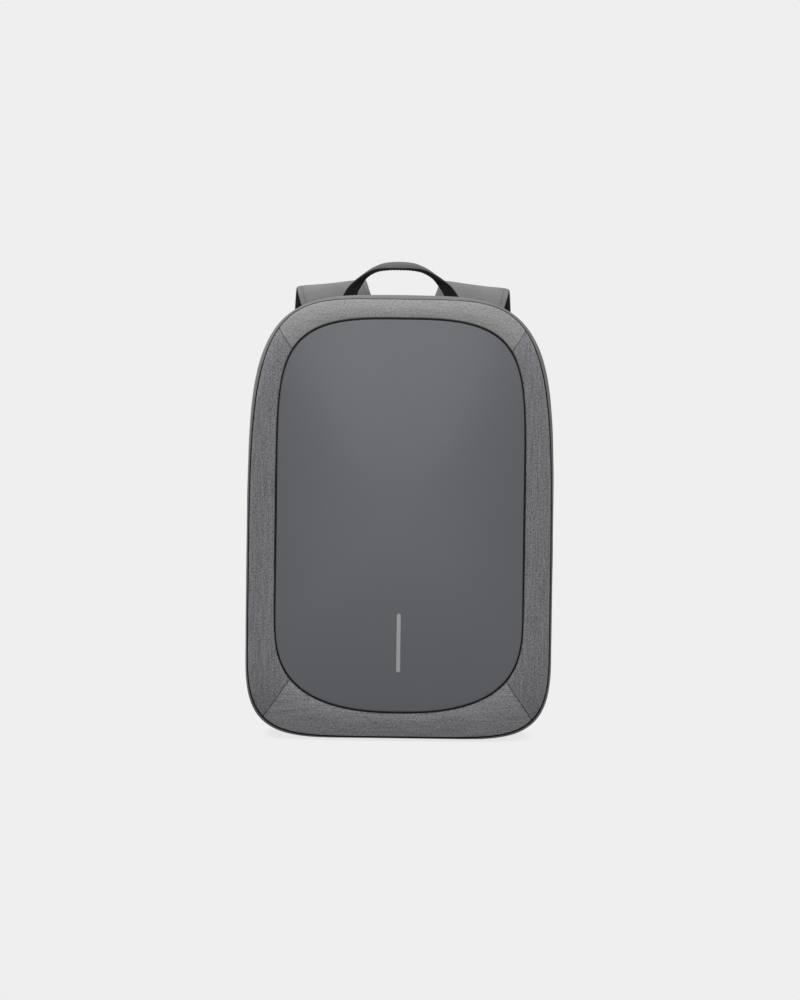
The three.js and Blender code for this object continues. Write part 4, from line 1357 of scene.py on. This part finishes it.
# Shares of the foot's distance from the middle and of the handle's height over the body; its
# quarter turn; and shares of its width and of the grip's thickness
HANDLE_COURSE = np.array([
    (1, -0.03, 1, HANDLE_LEG_SHARE, 0),
    (0.983, 0.105, 1, 0.66, 0),
    (0.908, 0.355, 1, 0.52, 0),
    (0.836, 0.5, 0.83, 0.43, 0),
    (0.669, 0.76, 0.25, 0.36, 0.05),
    (0.468, 0.928, 0.06, 0.6, 0.35),
    (0.269, 0.986, 0.01, 0.9, 0.83),
    (0, 1, 0, 1, 1),
])
HANDLE_ROWS = np.concatenate([HANDLE_COURSE * [-1, 1, 1, 1, 1], HANDLE_COURSE[-2::-1]])
HANDLE_POINTS = np.stack([
    HANDLE_ROWS[:, 0] * HANDLE_FOOT_CENTRE - mix(*HANDLE_LEAN, HANDLE_ROWS[:, 1]),
    np.full(len(HANDLE_ROWS), HANDLE_BACK),
    mix(HANDLE_FOOT, HANDLE_TOP - HANDLE_GRIP, HANDLE_ROWS[:, 1])], -1)


def handle_frames(shares):
    """The handle's frames, with the grip's thickness and how far its cover wraps down"""
    spot = shares * (len(HANDLE_ROWS) - 1)
    along = heading(HANDLE_POINTS, shares)
    away = np.stack([-along[:, 2], np.zeros(len(along)), along[:, 0]], -1)
    turn = spline_through(HANDLE_ROWS[:, 2], spot)[:, None] * np.pi / 2
    out = away * np.cos(turn) + np.array([0, 1, 0]) * np.sin(turn)
    share = np.clip(spline_through(HANDLE_ROWS[:, 4], spot), 0, 1)[:, None]
    return {
        "point": curve_through(HANDLE_POINTS, shares), "along": along, "out": out,
        "across": np.cross(out, along),
        "half": spline_through(HANDLE_ROWS[:, 3], spot) * HANDLE_WIDTH / 2,
    }, mix(HANDLE_GRIP_LEG, HANDLE_GRIP, share), share * HANDLE_WRAP


def handle():
    frames, grip, wrap = handle_frames(np.linspace(0, 1, 150))
    sideways, lift = half_round(frames["half"][:, None], 31, 5, 2.6)
    near = GAP / 2 - wrap
    cushion("handle_cover", frames, sideways, mix(near, grip, lift), near, 7, "grip_fabric",
            "handle_grip", 1, 100)
    thickness = HANDLE_WEBBING + near - GAP
    frames["point"] = frames["point"] - frames["out"] * (HANDLE_WEBBING - thickness / 2)
    flat_band("handle_band", frames, frames["half"], thickness, 1, "handle_webbing")
    sewn = slice(8, -8)
    some = {key: value[sewn] for key, value in frames.items()}
    names = [f"handle_stitches_{edge}" for edge in ("back", "front")]
    edge_stitches(names, some, HANDLE_STITCH_INSET, -thickness[sewn] / 2 - 0.03, "black_thread",
                  facing=-1, pitch=3.2)


def seam_stitches():
    """Rows of stitches beside the zip, on the gusset and on the rim"""
    for name, place, offset in (("gusset", "zip_front", -3.6), ("rim", "zip_back", 3.4)):
        angles, _ = all_round(3.0, PLACE["girth"])
        places = moved(PLACE[place], angles, offset)
        normals = skin_normal(places, angles)
        path = skin(places, angles) + normals * 0.25
        path[:, 2] = np.maximum(path[:, 2], 0.3)
        stitches(f"{name}_stitches", path, normals, "grey_thread", pitch=3.8)


# Light, floor and camera
PICTURE_WIDTH = 800
CAMERA_DISTANCE = 3000
CAMERA_ELEVATION = math.radians(2.5)
CAMERA_ROLL = math.radians(0.75)
AIM = np.array([-0.3, 0, 235])
SENSOR = 36
BACKDROP = 0.863
PAINTED_SHADOW_REACH = 0.012
FLOOR_SIZE = 60.0
FLOOR_DROP = 0.0003
FLOOR_NEAR = 0.34
FLOOR_FAR = 0.42
POOL_SHAPE = (3.0, 5.0, 0.0)
SKY_LOW = 0.5
SKY_HIGH = 0.96
SKY_SIDE = 0.05

# Soft boxes: where each stands, in metres, its width and height, and its power in watts
SOFT_BOXES = {
    "key_light": ((-0.03, -0.8, 2.0), (0.8, 0.8), 9.2),
    "front_light": ((-0.08, -2.2, 0.75), (0.35, 1.1), 4.95),
    "back_light": ((-1.3, 1.5, 1.3), (1.0, 1.2), 22),
    "rim_light": ((1.7, 1.0, 0.7), (0.6, 1.4), 5),
}


def camera():
    data = bpy.data.cameras.new("camera")
    data.sensor_fit = "HORIZONTAL"
    data.sensor_width = SENSOR
    data.lens = SENSOR * CAMERA_DISTANCE / PICTURE_WIDTH
    piece = in_scene("camera", data)
    back = np.array([0, -math.cos(CAMERA_ELEVATION), math.sin(CAMERA_ELEVATION)])
    piece.location = Vector((AIM + back * CAMERA_DISTANCE) * MM)
    facing = Vector(-back).to_track_quat("-Z", "Y").to_matrix()
    piece.rotation_euler = (facing @ Matrix.Rotation(CAMERA_ROLL, 3, "Z")).to_euler()
    bpy.context.scene.camera = piece


def floor():
    """A pale floor without a horizon: as bright as the backdrop, with a painted contact shadow
    where the pack meets it, and dimmer as a source of light than as a thing seen, most of all close
    to the pack"""
    mesh = bpy.data.meshes.new("floor")
    corners = [(x * FLOOR_SIZE, y * FLOOR_SIZE, -FLOOR_DROP)
               for x, y in ((-1, -1), (1, -1), (1, 1), (-1, 1))]
    mesh.from_pydata(corners, [], [(0, 1, 2, 3)])
    material = bpy.data.materials.new("floor")
    material.use_nodes = True
    material.node_tree.nodes.clear()
    nodes = Nodes(material.node_tree)
    place = nodes.node("ShaderNodeNewGeometry", {}).outputs["Position"]
    away = nodes.node(
        "ShaderNodeVectorMath", {0: nodes.scaled(place, POOL_SHAPE)}, operation="LENGTH")
    glow = nodes.ranged(away.outputs["Value"], 0.45, 1.0, FLOOR_NEAR, FLOOR_FAR)
    # Painted contact shadow: the floor's seen glow is turned down where the pack occludes it
    contact = nodes.node("ShaderNodeAmbientOcclusion", {"Distance": PAINTED_SHADOW_REACH})
    backdrop_with_painted_shadow = nodes.ranged(
        contact.outputs["AO"], 0.35, 1.0, BACKDROP * 0.9, BACKDROP, kind="LINEAR")
    emission = nodes.node(
        "ShaderNodeEmission", {"Strength": nodes.mixed(nodes.seen(), glow, backdrop_with_painted_shadow)})
    nodes.node("ShaderNodeOutputMaterial", {"Surface": emission.outputs[0]})
    mesh.materials.append(material)
    in_scene("floor", mesh)


def sky():
    """An even backdrop where it is seen, and a soft light that grows towards the top and is
    dim at both sides"""
    world = bpy.data.worlds.new("sky")
    bpy.context.scene.world = world
    world.use_nodes = True
    world.node_tree.nodes.clear()
    nodes = Nodes(world.node_tree)
    direction = nodes.node("ShaderNodeTexCoord", {}).outputs["Generated"]
    rising = nodes.ranged(
        nodes.axis(direction, "Z"), 0.0, 1.0, SKY_LOW, SKY_HIGH, kind="LINEAR")
    sideways = nodes.math("ABSOLUTE", nodes.axis(direction, "X"))
    glow = nodes.math("MULTIPLY", rising, nodes.ranged(sideways, 0.45, 1.0, 1.0, SKY_SIDE))
    background = nodes.node("ShaderNodeBackground", {
        "Color": (1.0, 1.0, 1.0), "Strength": nodes.mixed(nodes.seen(), glow, BACKDROP)})
    nodes.node("ShaderNodeOutputWorld", {"Surface": background.outputs[0]})


def soft_boxes():
    target = Vector((0, 0, CENTRE_HEIGHT * MM))
    for name, (spot, size, power) in SOFT_BOXES.items():
        data = bpy.data.lights.new(name, "AREA")
        data.shape = "RECTANGLE"
        data.size, data.size_y = size
        data.energy = power
        piece = in_scene(name, data)
        piece.location = spot
        piece.rotation_euler = (target - Vector(spot)).to_track_quat("-Z", "Y").to_euler()
        piece.visible_camera = False


camera()
floor()
sky()
soft_boxes()
bpy.context.scene.view_settings.view_transform = "Standard"

frame_pieces()
gusset()
back_rim()
piping_cord("panel_piping", "panel", 0.9, 0.9, 0.9)
piping_cord("frame_piping", "seam", 0.0, 0.2, 0.8)
front_panel()
reflective_strip()
back_panel()
zip_and_hinge()
zip_pull()
for side, side_name in ((1, "right"), (-1, "left")):
    strap(side, side_name)
    ladder_lock(side, side_name)
    strap_webbing(side, side_name)
    strap_anchor(side, side_name)
handle()
seam_stitches()
